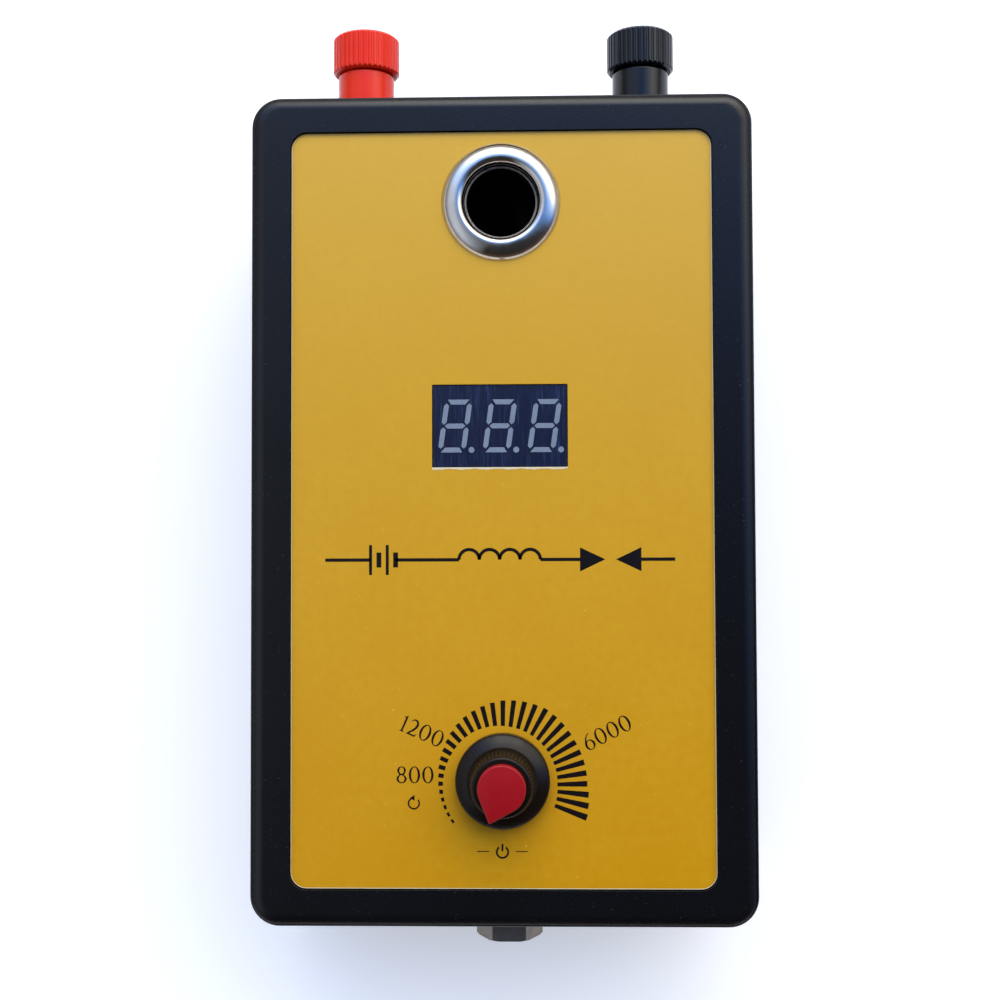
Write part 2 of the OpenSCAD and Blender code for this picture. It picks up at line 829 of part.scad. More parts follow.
module plug_eyelet() {
    crown_r = eyelet_bore_r + eyelet_mouth_r;
    slope_w = eyelet_r - crown_r;
    slope_r = (slope_w * slope_w + eyelet_h * eyelet_h) / (2 * eyelet_h);
    color("#c9ced6")
        at_port()
            rotate_extrude() {
                intersection() {
                    translate([crown_r, z_label + eyelet_h - slope_r])
                        circle(slope_r);
                    translate([crown_r, z_label])
                        square([slope_w, eyelet_h]);
                }
                translate([crown_r, z_label + eyelet_h - eyelet_mouth_r])
                    intersection() {
                        circle(eyelet_mouth_r);
                        translate([-eyelet_mouth_r, 0])
                            square(eyelet_mouth_r);
                    }
                translate([eyelet_bore_r, z_label])
                    square([eyelet_mouth_r, eyelet_h - eyelet_mouth_r]);
                translate([eyelet_bore_r, z_roll])
                    square([eyelet_t, z_label - z_roll]);
                translate([barrel_r, z_roll])
                    square([1, eyelet_roll_t]);
            }
}

module eyelet_washer() {
    color("#b9bcc0")
        at_port()
            translate([0, 0, z_washer])
                linear_extrude(eyelet_washer_t)
                    difference() {
                        union() {
                            circle(d = eyelet_washer_d);
                            translate([-washer_tab_w / 2, -eyelet_washer_d / 2 - washer_tab_l])
                                square([washer_tab_w, washer_tab_l + 2]);
                        }
                        circle(port_hole_r);
                    }
}

module spark_chamber() {
    color("#16161a")
        at_port()
            difference() {
                union() {
                    translate([0, 0, floor_t])
                        cylinder(r = chamber_r, h = chamber_top - floor_t);
                    translate([0, 0, z_shoulder])
                        cylinder(r = neck_r, h = z_neck - z_shoulder);
                }
                translate([0, 0, z_shoulder])
                    cylinder(d = chamber_bore_d, h = chamber_top);
                translate([0, 0, z_seat])
                    cylinder(r = pocket_r, h = pocket_h + over);
                translate([0, 0, terminal_pin_z])
                    rotate([90, 0, 0])
                        cylinder(r = terminal_pin_r + close_gap, h = chamber_r + over);
            }
}

module hv_terminal() {
    pin_start = button_d / 2 - 0.5;
    color("#c8a24a")
        at_port() {
            translate([0, 0, z_seat])
                cylinder(r = pocket_r - close_gap, h = terminal_t);
            translate([0, -pin_start, terminal_pin_z])
                rotate([90, 0, 0])
                    cylinder(r = terminal_pin_r, h = terminal_pin_l - pin_start);
        }
}

module contact_spring() {
    steps = 12 * spring_turns;
    rise = spring_l - spring_wire_d;
    path = [for (i = [0:steps])
        let (a = 360 * spring_turns * i / steps)
        [spring_r * cos(a), spring_r * sin(a), z_spring + spring_wire_d / 2 + rise * i / steps]];
    color("#b8bcc2")
        at_port()
            swept_tube(path, spring_wire_d / 2, [0, 0, 1], 6);
}

module contact_button() {
    r = button_d / 2;
    color("#c8a24a")
        at_port()
            translate([0, 0, z_button])
                difference() {
                    rotate_extrude()
                        edge_profile(r, button_h, 0.1, 0.8);
                    translate([0, 0, -over])
                        cylinder(r = r - button_wall, h = button_h - button_top_t + over);
                }
}

// Display

function slanted(p) = [for (q = p) [q[0] + q[1] * tan(digit_slant), q[1]]];
function bar(l) = let (h = segment_t / 2)
    [[-l / 2, 0], [-l / 2 + h, h], [l / 2 - h, h], [l / 2, 0], [l / 2 - h, -h], [-l / 2 + h, -h]];
function lid(l) = let (h = segment_t / 2)
    [[-l / 2, h], [l / 2, h], [l / 2 - 1.5 * h, -h], [-l / 2 + 1.5 * h, -h]];
function moved(p, at) = [for (q = p) q + at];
function upright(p) = [for (q = p) [-q[1], q[0]]];

// The seven bars and the point of each digit, as flat shapes
module digit_shapes() {
    column = (digit_w - segment_t) / 2;
    row = (digit_h - segment_t) / 2;
    flat_bar = bar(2 * column - 2 * segment_gap);
    end_bar = lid(2 * column - segment_gap);
    upright_bar = upright(bar(row - 2 * segment_gap));
    for (digit = [-1:1])
        translate([digit * digit_pitch, 0]) {
            polygon(slanted(flat_bar));
            polygon(slanted(moved(end_bar, [0, row])));
            polygon(slanted(moved(-end_bar, [0, -row])));
            for (x = [-column, column], y = [-row / 2, row / 2])
                polygon(slanted(moved(upright_bar, [x, y])));
            translate([digit_w / 2 - row * tan(digit_slant) + dot_gap + dot_r, -row])
                circle(dot_r);
        }
}

module display_housing() {
    color("#141b38")
        at_display()
            difference() {
                translate([-display_w / 2, -display_h / 2, z_display_board])
                    cube([display_w, display_h, display_t]);
                translate([0, 0, z_display - segment_depth])
                    linear_extrude(segment_depth + over)
                        offset(delta = segment_room)
                            digit_shapes();
            }
}

module display_segments() {
    color("#8d97ad")
        at_display()
            translate([0, 0, z_display - segment_depth])
                linear_extrude(segment_depth)
                    digit_shapes();
}

module at_display_pins() {
    at_display()
        for (k = [0:display_pins_each - 1], row = [-0.5, 0.5])
            translate([(k - (display_pins_each - 1) / 2) * pin_pitch, row * display_pin_rows, 0])
                children();
}

module display_pins() {
    color("silver")
        at_display_pins()
            translate([0, 0, z_display_board - display_pin_l])
                cylinder(r = display_pin_r, h = display_pin_l);
}

module display_board() {
    color("#2f6b45")
        translate([0, 0, z_display_board - board_t])
            difference() {
                at_display()
                    translate([-display_board_w / 2, -display_board_h / 2, 0])
                        cube([display_board_w, display_board_h, board_t]);
                at_display_pins()
                    translate([0, 0, -over])
                        cylinder(r = display_pin_r + close_gap, h = board_t + 2 * over);
                at_display_screws()
                    translate([0, 0, -over])
                        cylinder(r = board_screw_d / 2 + hole_gap, h = board_t + 2 * over);
            }
}

module display_screws() {
    color("silver")
        at_display_screws()
            translate([0, 0, z_display_board - board_t])
                pan_screw(board_screw_d, board_screw_l, 2 * small_head_r, small_head_h);
}

// Speed control

module pot_bushing() {
    color("#b9bcc0")
        at_pot()
            difference() {
                union() {
                    translate([0, 0, z_can])
                        cylinder(r = can_r, h = pot_plate_t);
                    translate([0, 0, z_pot])
                        cylinder(r = bushing_r, h = bushing_l);
                }
                translate([0, 0, z_can - over])
                    cylinder(r = shaft_r + running_gap, h = z_bushing - z_can + 2 * over);
            }
}

module pot_can() {
    color("#a9adb3")
        at_pot()
            difference() {
                translate([0, 0, z_can - can_h])
                    cylinder(r = can_r, h = can_h);
                translate([0, 0, z_can - can_h + can_wall])
                    cylinder(r = can_r - can_wall, h = can_h);
                translate([-wafer_tongue_w / 2 - 0.3, 0, z_can - wafer_t - 2])
                    cube([wafer_tongue_w + 0.6, can_r + over, wafer_t + 2 + over]);
            }
}

module pot_wafer() {
    color("#7a4a26")
        at_pot()
            translate([0, 0, z_can - wafer_t])
                linear_extrude(wafer_t)
                    difference() {
                        union() {
                            circle(wafer_r);
                            translate([-wafer_tongue_w / 2, 0])
                                square([wafer_tongue_w, can_r + wafer_tongue_l]);
                        }
                        circle(shaft_r + 0.4);
                    }
}

module pot_lugs() {
    color("silver")
        at_pot()
            for (k = [-1:1])
                translate([k * lug_pitch - lug_w / 2, can_r + 1, z_can - wafer_t - lug_t])
                    cube([lug_w, lug_l, lug_t]);
}

module pot_switch() {
    half = pot_switch_w / 2;
    color("#2a2a2e")
        at_pot()
            translate([0, 0, z_can - can_h - pot_switch_h])
                linear_extrude(pot_switch_h)
                    rounded_rect(pot_switch_w, pot_switch_w, half * 0.3);
}

module pot_washer() {
    color("#b9bcc0")
        at_pot()
            translate([0, 0, z_pot_washer])
                tube(pot_nut_af / sqrt(3), bushing_r + hole_gap, pot_washer_t);
}

module pot_nut() {
    color("#b9bcc0")
        at_pot()
            translate([0, 0, z_pot_nut])
                hex_nut(pot_nut_af, bushing_r + close_gap, pot_nut_t);
}

module pot_shaft() {
    color("#d0d0cc")
        at_pot()
            translate([0, 0, z_wiper])
                rotate_extrude()
                    edge_profile(shaft_r, z_shaft_top - z_wiper, 0.1, 0.4);
}

module pot_wiper() {
    color("#8a6a3a")
        at_pot()
            translate([0, 0, z_wiper])
                tube(wafer_r - 0.8, shaft_r + close_gap, wiper_t);
}

module knob_body() {
    skirt_r = knob_d / 2;
    foot_r = knob_foot_d / 2;
    top_r = knob_top_d / 2;
    top_round = 0.4;
    color("#1a1a1d")
        at_pot()
            difference() {
                translate([0, 0, z_knob])
                    rotate_extrude()
                        polygon([[0, 0], [skirt_r - 0.3, 0], [skirt_r, 0.3], [skirt_r, knob_edge_h],
                            [skirt_r - 0.4, knob_edge_h + 0.4], [foot_r + 0.2, knob_skirt_h],
                            [foot_r, knob_skirt_h], [top_r, knob_h - top_round], [top_r - top_round, knob_h],
                            [0, knob_h]]);
                translate([0, 0, z_knob - over])
                    cylinder(r = knob_hollow_r, h = z_knob_hollow - z_knob + over);
                translate([0, 0, z_knob])
                    cylinder(r = bushing_r + 0.4, h = z_knob_neck - z_knob);
                translate([0, 0, z_knob])
                    cylinder(r = shaft_r + close_gap, h = knob_h - knob_roof_t);
            }
}

// Teardrop cap whose tip lies on the line that the knob points along
module knob_pointer() {
    flank = asin(pointer_r / pointer_reach);
    root = pointer_r * 0.98 * [sin(flank), cos(flank)];
    color("#a8161f")
        at_pot()
            translate([0, 0, z_knob_top])
                rotate(pointer_angle) {
                    rotate(180)
                        cylinder(r = pointer_r, h = pointer_t);
                    linear_extrude(pointer_t)
                        polygon([[0, 0], [root[0], root[1]], [pointer_reach, pointer_tip_w / 2],
                            [pointer_reach, -pointer_tip_w / 2], [root[0], -root[1]]]);
                }
}

// Binding posts

module post_cap(side) {
    r = cap_d / 2;
    groove_r = PI * cap_d / cap_ribs * 0.3;
    chamfer = 0.45;
    at_post(side)
        translate([0, 0, collar_l + cap_gap])
            difference() {
                intersection() {
                    linear_extrude(cap_l)
                        difference() {
                            circle(r);
                            for (k = [0:cap_ribs - 1])
                                rotate(360 * k / cap_ribs)
                                    translate([r + groove_r * 0.3, 0])
                                        circle(groove_r);
                        }
                    rotate_extrude()
                        polygon([[0, 0], [r - chamfer, 0], [r + over, chamfer + over],
                            [r + over, cap_l - chamfer - over], [r - chamfer, cap_l], [0, cap_l]]);
                }
                translate([0, 0, -over])
                    cylinder(r = insert_r + running_gap, h = cap_l - cap_end_t + over);
                cylinder(d = socket_d + 0.8, h = cap_l + over);
            }
}

module post_insert(side) {
    at_post(side)
        translate([0, 0, collar_l + insert_lift])
            tube(insert_r, stud_r + running_gap, insert_l);
}

module post_collar(side) {
    at_post(side)
        difference() {
            union() {
                rotate_extrude()
                    edge_profile(collar_d / 2, collar_l, 0.2, 0.4);
                translate([0, 0, -wall])
                    cylinder(r = spigot_r, h = wall);
            }
            translate([0, 0, -wall - over])
                cylinder(r = stud_r + hole_gap, h = collar_l + wall + 2 * over);
            translate([0, 0, collar_l - stud_flange_t])
                cylinder(r = stud_flange_r + close_gap, h = stud_flange_t + over);
        }
}

module post_stud(side) {
    color("#c8a24a")
        at_post(side)
            difference() {
                union() {
                    translate([0, 0, -stud_in])
                        rotate_extrude()
                            edge_profile(stud_r, stud_in + stud_out, 0.5, 0.3);
                    translate([0, 0, collar_l - stud_flange_t])
                        cylinder(r = stud_flange_r, h = stud_flange_t);
                }
                translate([0, 0, stud_out - socket_depth])
                    cylinder(d = socket_d, h = socket_depth + over);
                translate([-stud_r - over, 0, collar_l + wire_hole_r + 0.2])
                    rotate([0, 90, 0])
                        cylinder(r = wire_hole_r, h = 2 * stud_r + 2 * over);
            }
}

module post_bush(side) {
    at_post(side)
        translate([0, 0, -wall - bush_t])
            tube(collar_d / 2, stud_r + hole_gap, bush_t);
}

module red_cap() { color("#e03a26") post_cap(0); }
module red_insert() { color("#c8a24a") post_insert(0); }
module red_collar() { color("#e03a26") post_collar(0); }
module red_stud() { post_stud(0); }
module red_bush() { color("#e03a26") post_bush(0); }
module black_cap() { color("#1c1e24") post_cap(1); }
module black_insert() { color("#c8a24a") post_insert(1); }
module black_collar() { color("#1c1e24") post_collar(1); }
module black_stud() { post_stud(1); }
module black_bush() { color("#1c1e24") post_bush(1); }

module post_nuts() {
    color("#c9ced6")
        for (side = [0, 1])
            at_post(side)
                for (u = [nut_u - post_nut_t, tag_u - tag_t - post_nut_t])
                    translate([0, 0, u])
                        rotate(30)
                            hex_nut(post_nut_af, stud_r + close_gap, post_nut_t);
}

module post_tags() {
    color("silver")
        for (side = [0, 1])
            at_post(side)
                translate([0, 0, tag_u - tag_t])
                    linear_extrude(tag_t)
                        difference() {
                            union() {
                                circle(d = post_nut_af);
                                translate([-tag_w / 2, 0])
                                    square([tag_w, tag_l]);
                            }
                            circle(stud_r + hole_gap);
                        }
}

// Power jack

module jack_shell() {
    color("#b9bcc0")
        at_jack()
            difference() {
                union() {
                    translate([0, 0, -jack_in - jack_back_l])
                        rotate_extrude()
                            edge_profile(jack_r, jack_in + jack_back_l + jack_out, 0.1, 0.4);
                    translate([0, 0, -wall - jack_flange_t])
                        cylinder(r = jack_flange_r, h = jack_flange_t);
                }
                translate([0, 0, -jack_in])
                    cylinder(d = jack_bore_d, h = jack_bore_depth + over);
                translate([0, 0, -jack_in - jack_back_l - over])
                    cylinder(r = jack_plug_r, h = jack_back_l + over);
            }
}

module jack_nut() {
    color("#b9bcc0")
        at_jack()
            hex_nut(jack_nut_af, jack_r + close_gap, jack_nut_t);
}

module jack_insulator() {
    color("#1a1a1d")
        at_jack()
            translate([0, 0, -jack_in - jack_back_l])
                tube(jack_plug_r - close_gap, jack_root_r + close_gap, jack_back_l);
}

module jack_pin() {
    pin_l = jack_bore_depth - jack_pin_short;
    color("#c9ced6")
        at_jack() {
            translate([0, 0, -jack_in - jack_back_l])
                cylinder(r = jack_root_r, h = jack_back_l);
            translate([0, 0, -jack_in])
                rotate_extrude()
                    difference() {
                        square([jack_pin_d / 2, pin_l]);
                        translate([jack_pin_d / 2 - jack_pin_round, pin_l - jack_pin_round])
                            corner_notch(jack_pin_round);
                    }
        }
}

module jack_tags() {
    color("silver")
        at_jack()
            for (x = [-1, 1])
                translate([x * jack_tag_pitch / 2 - jack_tag_w / 2, -jack_tag_t / 2,
                        -jack_in - jack_back_l - jack_tag_l])
                    cube([jack_tag_w, jack_tag_t, jack_tag_l]);
}

// Main board and what it carries

module main_board() {
    color("#2f6b45")
        difference() {
            translate([-board_w / 2, board_y0, z_board])
                cube([board_w, board_l, board_t]);
            at_board_screws()
                translate([0, 0, z_board - over])
                    cylinder(r = board_screw_d / 2 + hole_gap, h = board_t + 2 * over);
        }
}

module board_screws() {
    color("silver")
        at_board_screws()
            translate([0, 0, z_top])
                mirror([0, 0, 1])
                    pan_screw(board_screw_d, board_screw_l, 2 * small_head_r, small_head_h);
}

module coil_core() {
    half_w = core_window + core_leg / 2;
    half_l = coil_l / 2 + core_leg / 2;
    color("#4a4a4e")
        translate([0, coil_y, coil_z - core_leg / 2])
            linear_extrude(core_leg)
                difference() {
                    square([2 * half_w, 2 * half_l], center = true);
                    for (side = [-1, 1])
                        translate([side * (core_window + core_leg / 2) / 2, 0])
                            square([core_window - core_leg / 2, coil_l], center = true);
                }
}

module coil_bobbin() {
    bore = core_leg + 2 * coil_gap;
    color("#e8e2d0")
        translate([0, coil_y, coil_z])
            rotate([90, 0, 0])
                difference() {
                    union() {
                        translate([0, 0, -coil_l / 2 + coil_gap])
                            linear_extrude(coil_l - 2 * coil_gap)
                                square(bobbin_w, center = true);
                        for (end = [-coil_l / 2 + coil_gap, coil_l / 2 - coil_gap - coil_wall])
                            translate([0, 0, end])
                                linear_extrude(coil_wall)
                                    square(coil_w, center = true);
                    }
                    translate([0, 0, -coil_l])
                        linear_extrude(2 * coil_l)
                            square(bore, center = true);
                }
}

module coil_winding() {
    color("#9a5a2a")
        translate([0, coil_y + winding_l / 2, coil_z])
            rotate([90, 0, 0])
                linear_extrude(winding_l)
                    difference() {
                        rounded_rect(winding_w, winding_w, winding_r);
                        square(bobbin_w + 2 * close_gap, center = true);
                    }
}

module power_transistor() {
    color("#232327")
        translate([sink_x, sink_y, z_top]) {
            translate([-transistor_t, -transistor_w / 2, transistor_leg_l])
                cube([transistor_t, transistor_w, transistor_body_h]);
            translate([-transistor_tab_t, -transistor_w / 2, transistor_leg_l])
                cube([transistor_tab_t, transistor_w, transistor_tab_h]);
            for (k = [-1:1])
                translate([-transistor_leg_back, k * pin_pitch - transistor_leg_w / 2, 0])
                    cube([transistor_leg_t, transistor_leg_w, transistor_leg_l]);
        }
}

module heat_sink() {
    color("#3a3b40")
        translate([sink_x, sink_y - sink_w / 2, z_top])
            linear_extrude(sink_h)
                union() {
                    square([sink_t, sink_w]);
                    for (k = [0:sink_fins - 1])
                        translate([sink_t, k * (sink_w - sink_t) / (sink_fins - 1)])
                            square([sink_fin_l, sink_t]);
                }
}

module supply_capacitor() {
    neck = tall_cap_h * 0.85;
    roof = tall_cap_h * 0.91;
    color("#22365a")
        translate([-board_w / 2 + tall_cap_inset, board_y0 + tall_cap_from_board_end, z_top])
            rotate_extrude() {
                edge_profile(tall_cap_r, neck, 0.4, 0.3);
                translate([0, neck])
                    square([tall_cap_r - tall_cap_groove, roof - neck]);
                translate([0, roof])
                    edge_profile(tall_cap_r, tall_cap_h - roof, 0.3, 0.5);
            }
}

module spark_capacitor() {
    color("#a87a2a")
        translate([-board_w / 2 + flat_cap_inset, coil_y, z_top])
            rounded_slab(flat_cap[0], flat_cap[1], flat_cap[2], flat_cap_r, 0.3, 0.8);
}

module control_chip() {
    pitch = (chip_w - pin_pitch) / (chip_pins - 1);
    color("#26262a")
        translate([0, chip_y, z_top]) {
            translate([-chip_w / 2, -chip_d / 2, chip_lift])
                cube([chip_w, chip_d, chip_h]);
            for (k = [0:chip_pins - 1], side = [-1, 1])
                translate([(k - (chip_pins - 1) / 2) * pitch - chip_pin_w / 2,
                        side * chip_d / 2 - chip_pin_d / 2, 0])
                    cube([chip_pin_w, chip_pin_d, chip_pin_h]);
        }
}

module resistors() {
    cap_l = resistor_l * 0.2;
    color("#c9b083")
        for (k = [-2:2])
            translate([k * resistor_pitch, resistor_y, z_top + resistor_r])
                rotate([-90, 0, 0])
                    rotate_extrude() {
                        edge_profile(resistor_r, cap_l, 0.3, 0.1);
                        translate([0, cap_l])
                            square([resistor_r * 0.85, resistor_l - 2 * cap_l]);
                        translate([0, resistor_l - cap_l])
                            edge_profile(resistor_r, cap_l, 0.1, 0.3);
                    }
}

// Wires

module red_wires() {
    color("#c0281c") {
        wire(post_route(0), wire_r, [1, 0, 0]);
        wire(jack_route(1), wire_r, [1, 0, 0]);
    }
}

module black_wires() {
    color("#1c1c1f") {
        wire(post_route(1), wire_r, [1, 0, 0]);
        wire(jack_route(0), wire_r, [1, 0, 0]);
        wire(earth_route, wire_r, [1, 0, 0]);
    }
}

module signal_wires() {
    mid_z = (z_top + display_wire_z) / 2;
    color("#3d6fb0") {
        for (k = [-1:1])
            wire([[k * lug_pitch, lug_end, lug_wire_z], [k * lug_pitch, lug_end + 2, lug_wire_z],
                [k * lug_pitch, lug_end + 2.5, mid_z], [k * lug_pitch, lug_land_y, z_top + wire_foot],
                [k * lug_pitch, lug_land_y, z_top]], wire_r, [1, 0, 0]);
        for (k = [0:display_wires - 1])
            wire([[display_wire_x, display_wire_y(k), display_wire_z],
                [display_wire_x, display_wire_y(k), mid_z + 3],
                [display_wire_x + 2, display_wire_y(k), mid_z - 3],
                [display_wire_x + 2, display_wire_y(k), z_top]], wire_r, [0, 1, 0]);
    }
}

module hv_lead() {
    color("#b02030")
        wire(hv_route, hv_wire_r, [1, 0, 0]);
}

rear_case();
front_cover();
front_label();
case_screws();
plug_eyelet();
eyelet_washer();
spark_chamber();
hv_terminal();
contact_spring();
contact_button();
display_housing();
display_segments();
display_pins();
display_board();
display_screws();
pot_bushing();
pot_can();
pot_wafer();
pot_lugs();
pot_switch();
pot_washer();
pot_nut();
pot_shaft();
pot_wiper();
knob_body();
knob_pointer();
red_cap();
red_insert();
red_collar();
red_stud();
red_bush();
black_cap();
black_insert();
black_collar();
black_stud();
black_bush();
post_nuts();
post_tags();
jack_shell();
jack_nut();
jack_insulator();
jack_pin();
jack_tags();
main_board();
board_screws();
coil_core();
coil_bobbin();
coil_winding();
power_transistor();
heat_sink();
supply_capacitor();
spark_capacitor();
control_chip();
resistors();
red_wires();
black_wires();
signal_wires();
hv_lead();
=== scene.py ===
import json
import math

import bmesh
import bpy
from mathutils import Matrix, Vector


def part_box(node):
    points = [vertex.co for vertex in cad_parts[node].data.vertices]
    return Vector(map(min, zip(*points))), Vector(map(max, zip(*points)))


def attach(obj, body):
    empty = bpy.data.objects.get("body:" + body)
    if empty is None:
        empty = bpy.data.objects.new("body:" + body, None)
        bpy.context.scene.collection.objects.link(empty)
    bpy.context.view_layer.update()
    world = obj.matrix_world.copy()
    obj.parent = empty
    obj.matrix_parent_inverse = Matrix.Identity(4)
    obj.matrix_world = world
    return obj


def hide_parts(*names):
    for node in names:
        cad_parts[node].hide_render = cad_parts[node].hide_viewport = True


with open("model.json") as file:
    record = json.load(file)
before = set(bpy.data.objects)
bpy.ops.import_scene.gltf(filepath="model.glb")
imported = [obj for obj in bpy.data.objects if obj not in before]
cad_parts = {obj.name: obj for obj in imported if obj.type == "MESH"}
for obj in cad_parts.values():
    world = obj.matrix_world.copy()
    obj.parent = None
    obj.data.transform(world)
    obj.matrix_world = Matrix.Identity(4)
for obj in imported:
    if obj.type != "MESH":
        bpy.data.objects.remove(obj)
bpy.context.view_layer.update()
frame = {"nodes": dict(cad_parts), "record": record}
nodes = frame["nodes"]
mm = 0.001
print("frame loaded:", len(nodes), "nodes")

# Camera: straight above the panel, a little low and to the right, as the photograph was taken
camera = {"lens": 47.48, "sensor": 36, "clip": 0.01,
          "place": (5.2, -6.1, 261.6), "turn": (1.88, 1.44, -0.2)}  # place in mm, turn in degrees
cameraData = bpy.data.cameras.new("camera")
cameraData.sensor_fit = "HORIZONTAL"
cameraData.sensor_width = camera["sensor"]
cameraData.lens = camera["lens"]
cameraData.clip_start = camera["clip"]
cameraObject = bpy.data.objects.new("camera", cameraData)
cameraObject.location = Vector(camera["place"]) * mm
cameraObject.rotation_euler = [math.radians(a) for a in camera["turn"]]
bpy.context.scene.collection.objects.link(cameraObject)
bpy.context.scene.camera = cameraObject
bpy.context.scene.view_settings.view_transform = "Standard"
print("camera placed")


# Colours are written as sRGB hex and used as linear light
def linear(hexColour):
    channels = [int(hexColour[i:i + 2], 16) / 255 for i in (1, 3, 5)]
    return [c / 12.92 if c <= 0.04045 else ((c + 0.055) / 1.055) ** 2.4 for c in channels] + [1.0]


# Adds one shader node: settings are its own options or its sockets' values, links are sockets to fill
def addNode(tree, kind, settings=None, links=None):
    node = tree.nodes.new(kind)
    for key, value in (settings or {}).items():
        if isinstance(key, str) and hasattr(node, key):
            setattr(node, key, value)
        else:
            node.inputs[key].default_value = value
    for key, source in (links or {}).items():
        tree.links.new(source, node.inputs[key])
    return node


def newMaterial(name, colour, settings):
    material = bpy.data.materials.new(name)
    material.use_nodes = True
    shader = material.node_tree.nodes["Principled BSDF"]
    shader.inputs["Base Color"].default_value = linear(colour)
    for key, value in settings.items():
        shader.inputs[key].default_value = value
    return material, material.node_tree, shader


# Noise frequency for a grain of that size in millimetres
def perMm(size):
    return 1000 / size


noiseLow, noiseHigh = 0.3, 0.7  # most values of a noise texture lie between these


# A finish with cloudy colour, a fine grain in its bump, a roughness that follows the grain, and stray specks.
# Grain, relief and cloud are in mm, and a grain too fine to show is given as coarse as it needs to be.
def grainedFinish(name, dark, light, rough, grain, relief, cloud=8.0, metallic=0.0, specks=None,
                  settings=None):
    material, tree, shader = newMaterial(name, light, {"Metallic": metallic, **(settings or {})})
    place = addNode(tree, "ShaderNodeTexCoord").outputs["Object"]
    cloudy = addNode(tree, "ShaderNodeTexNoise", {"Scale": perMm(cloud), "Detail": 3.0}, {"Vector": place})
    fine = addNode(tree, "ShaderNodeTexNoise", {"Scale": perMm(grain), "Detail": 2.0}, {"Vector": place})
    colour = addNode(tree, "ShaderNodeMix", {"data_type": "RGBA", 6: linear(dark), 7: linear(light)},
                     {0: cloudy.outputs["Fac"]}).outputs[2]
    if specks:
        dust = addNode(tree, "ShaderNodeTexNoise", {"Scale": perMm(specks["size"]), "Detail": 1.0},
                       {"Vector": place})
        dots = addNode(tree, "ShaderNodeMapRange", {"From Min": specks["from"], "From Max": specks["to"]},
                       {"Value": dust.outputs["Fac"]})
        colour = addNode(tree, "ShaderNodeMix", {"data_type": "RGBA", 7: linear(specks["colour"])},
                         {0: dots.outputs["Result"], 6: colour}).outputs[2]
    roughness = addNode(tree, "ShaderNodeMapRange", {"From Min": noiseLow, "From Max": noiseHigh,
                        "To Min": rough[0], "To Max": rough[1]}, {"Value": fine.outputs["Fac"]})
    bump = addNode(tree, "ShaderNodeBump", {"Strength": 1.0, "Distance": relief * mm},
                   {"Height": fine.outputs["Fac"]})
    tree.links.new(colour, shader.inputs["Base Color"])
    tree.links.new(roughness.outputs["Result"], shader.inputs["Roughness"])
    tree.links.new(bump.outputs["Normal"], shader.inputs["Normal"])
    return material


# Spark-eroded moulded ABS: a deep black that breaks every reflection into a soft satin sheen, a little dusty
mouldedAbs = grainedFinish("mouldedAbs", "#0b0b0d", "#101014", (0.2, 0.28), 0.35, 0.005, 14.0,
                           specks={"size": 0.45, "from": 0.725, "to": 0.785, "colour": "#2b2d33"},
                           settings={"Specular IOR Level": 0.3})
# Smooth moulded phenolic: black with a brown cast, glossier than the case, with faint flow marks
# The brown cast is partly the phenolic's own tone and partly a painted warm reflection of the yellow label
mouldedPhenolic = grainedFinish("mouldedPhenolic", "#120d09", "#1e160e", (0.16, 0.24), 0.5, 0.0012, 5.0,
                                settings={"Specular IOR Level": 0.19})
# Moulded red and black polystyrene of the binding posts: clear strong colour and a soft gloss
redStyrene = grainedFinish("redStyrene", "#ea2a0e", "#f6371b", (0.1, 0.18), 0.6, 0.001, 6.0,
                           settings={"Specular IOR Level": 0.26, "Subsurface Weight": 0.25,
                                     "Subsurface Scale": 0.001})
blackStyrene = grainedFinish("blackStyrene", "#07080d", "#0d1018", (0.1, 0.18), 0.6, 0.0012, 6.0,
                             settings={"Specular IOR Level": 0.34})
# Crimson acrylic of the pointer cap, tumbled to a satin gloss
crimsonAcrylic = grainedFinish("crimsonAcrylic", "#960d16", "#aa131c", (0.28, 0.38), 0.4, 0.003, 5.0,
                               settings={"Specular IOR Level": 0.3})
# Bright nickel plate on drawn steel: mirror clear and a little warm, with some haze from handling
brightNickel = grainedFinish("brightNickel", "#bdb8b0", "#d8d3ca", (0.1, 0.2), 1.2, 0.0015, 4.0, 1.0)
# Dull nickel plate on turned brass, for the parts inside: a cool grey with blurred reflections
dullNickel = grainedFinish("dullNickel", "#8d9098", "#a9adb5", (0.22, 0.36), 0.5, 0.003, 3.0, 1.0)
# Nickel plate of the jack's nut, darkened to a grey with a brown cast as painted shade, nearly matt
shadeDarkenedNickel = grainedFinish("shadeDarkenedNickel", "#6a635c", "#8b8379", (0.42, 0.55), 0.6, 0.003, 2.0, 1.0)
# Zinc plated steel of the screws: grey, slightly yellow, fine drawn grain
zincSteel = grainedFinish("zincSteel", "#8a8a86", "#b4b3ad", (0.26, 0.42), 0.3, 0.004, 2.0, 1.0)
# Turned brass, dulled by air: warm yellow with soft streaky highlights
turnedBrass = grainedFinish("turnedBrass", "#a98243", "#c9a257", (0.24, 0.4), 0.3, 0.004, 2.5, 1.0)
# Brass of the plug contact, burnt nearly black by sparks, with no shine left
burntBrass = grainedFinish("burntBrass", "#17130d", "#2b2318", (0.45, 0.65), 0.3, 0.006, 1.5, 0.6)
# Drawn spring wire: plain grey steel with a soft shine
drawnSteel = grainedFinish("drawnSteel", "#85888e", "#a5a8ad", (0.22, 0.36), 0.2, 0.003, 1.5, 1.0)
# Tin dipped copper: soft, bright and a little uneven
tinnedCopper = grainedFinish("tinnedCopper", "#b0b1b0", "#cfd0cd", (0.28, 0.45), 0.4, 0.006, 1.5, 1.0)
# Milky cast resin of the unlit segments: a pale cloudy grey with little gloss
milkyResin = grainedFinish("milkyResin", "#707c8d", "#8691a2", (0.34, 0.45), 0.3, 0.002, 2.0)
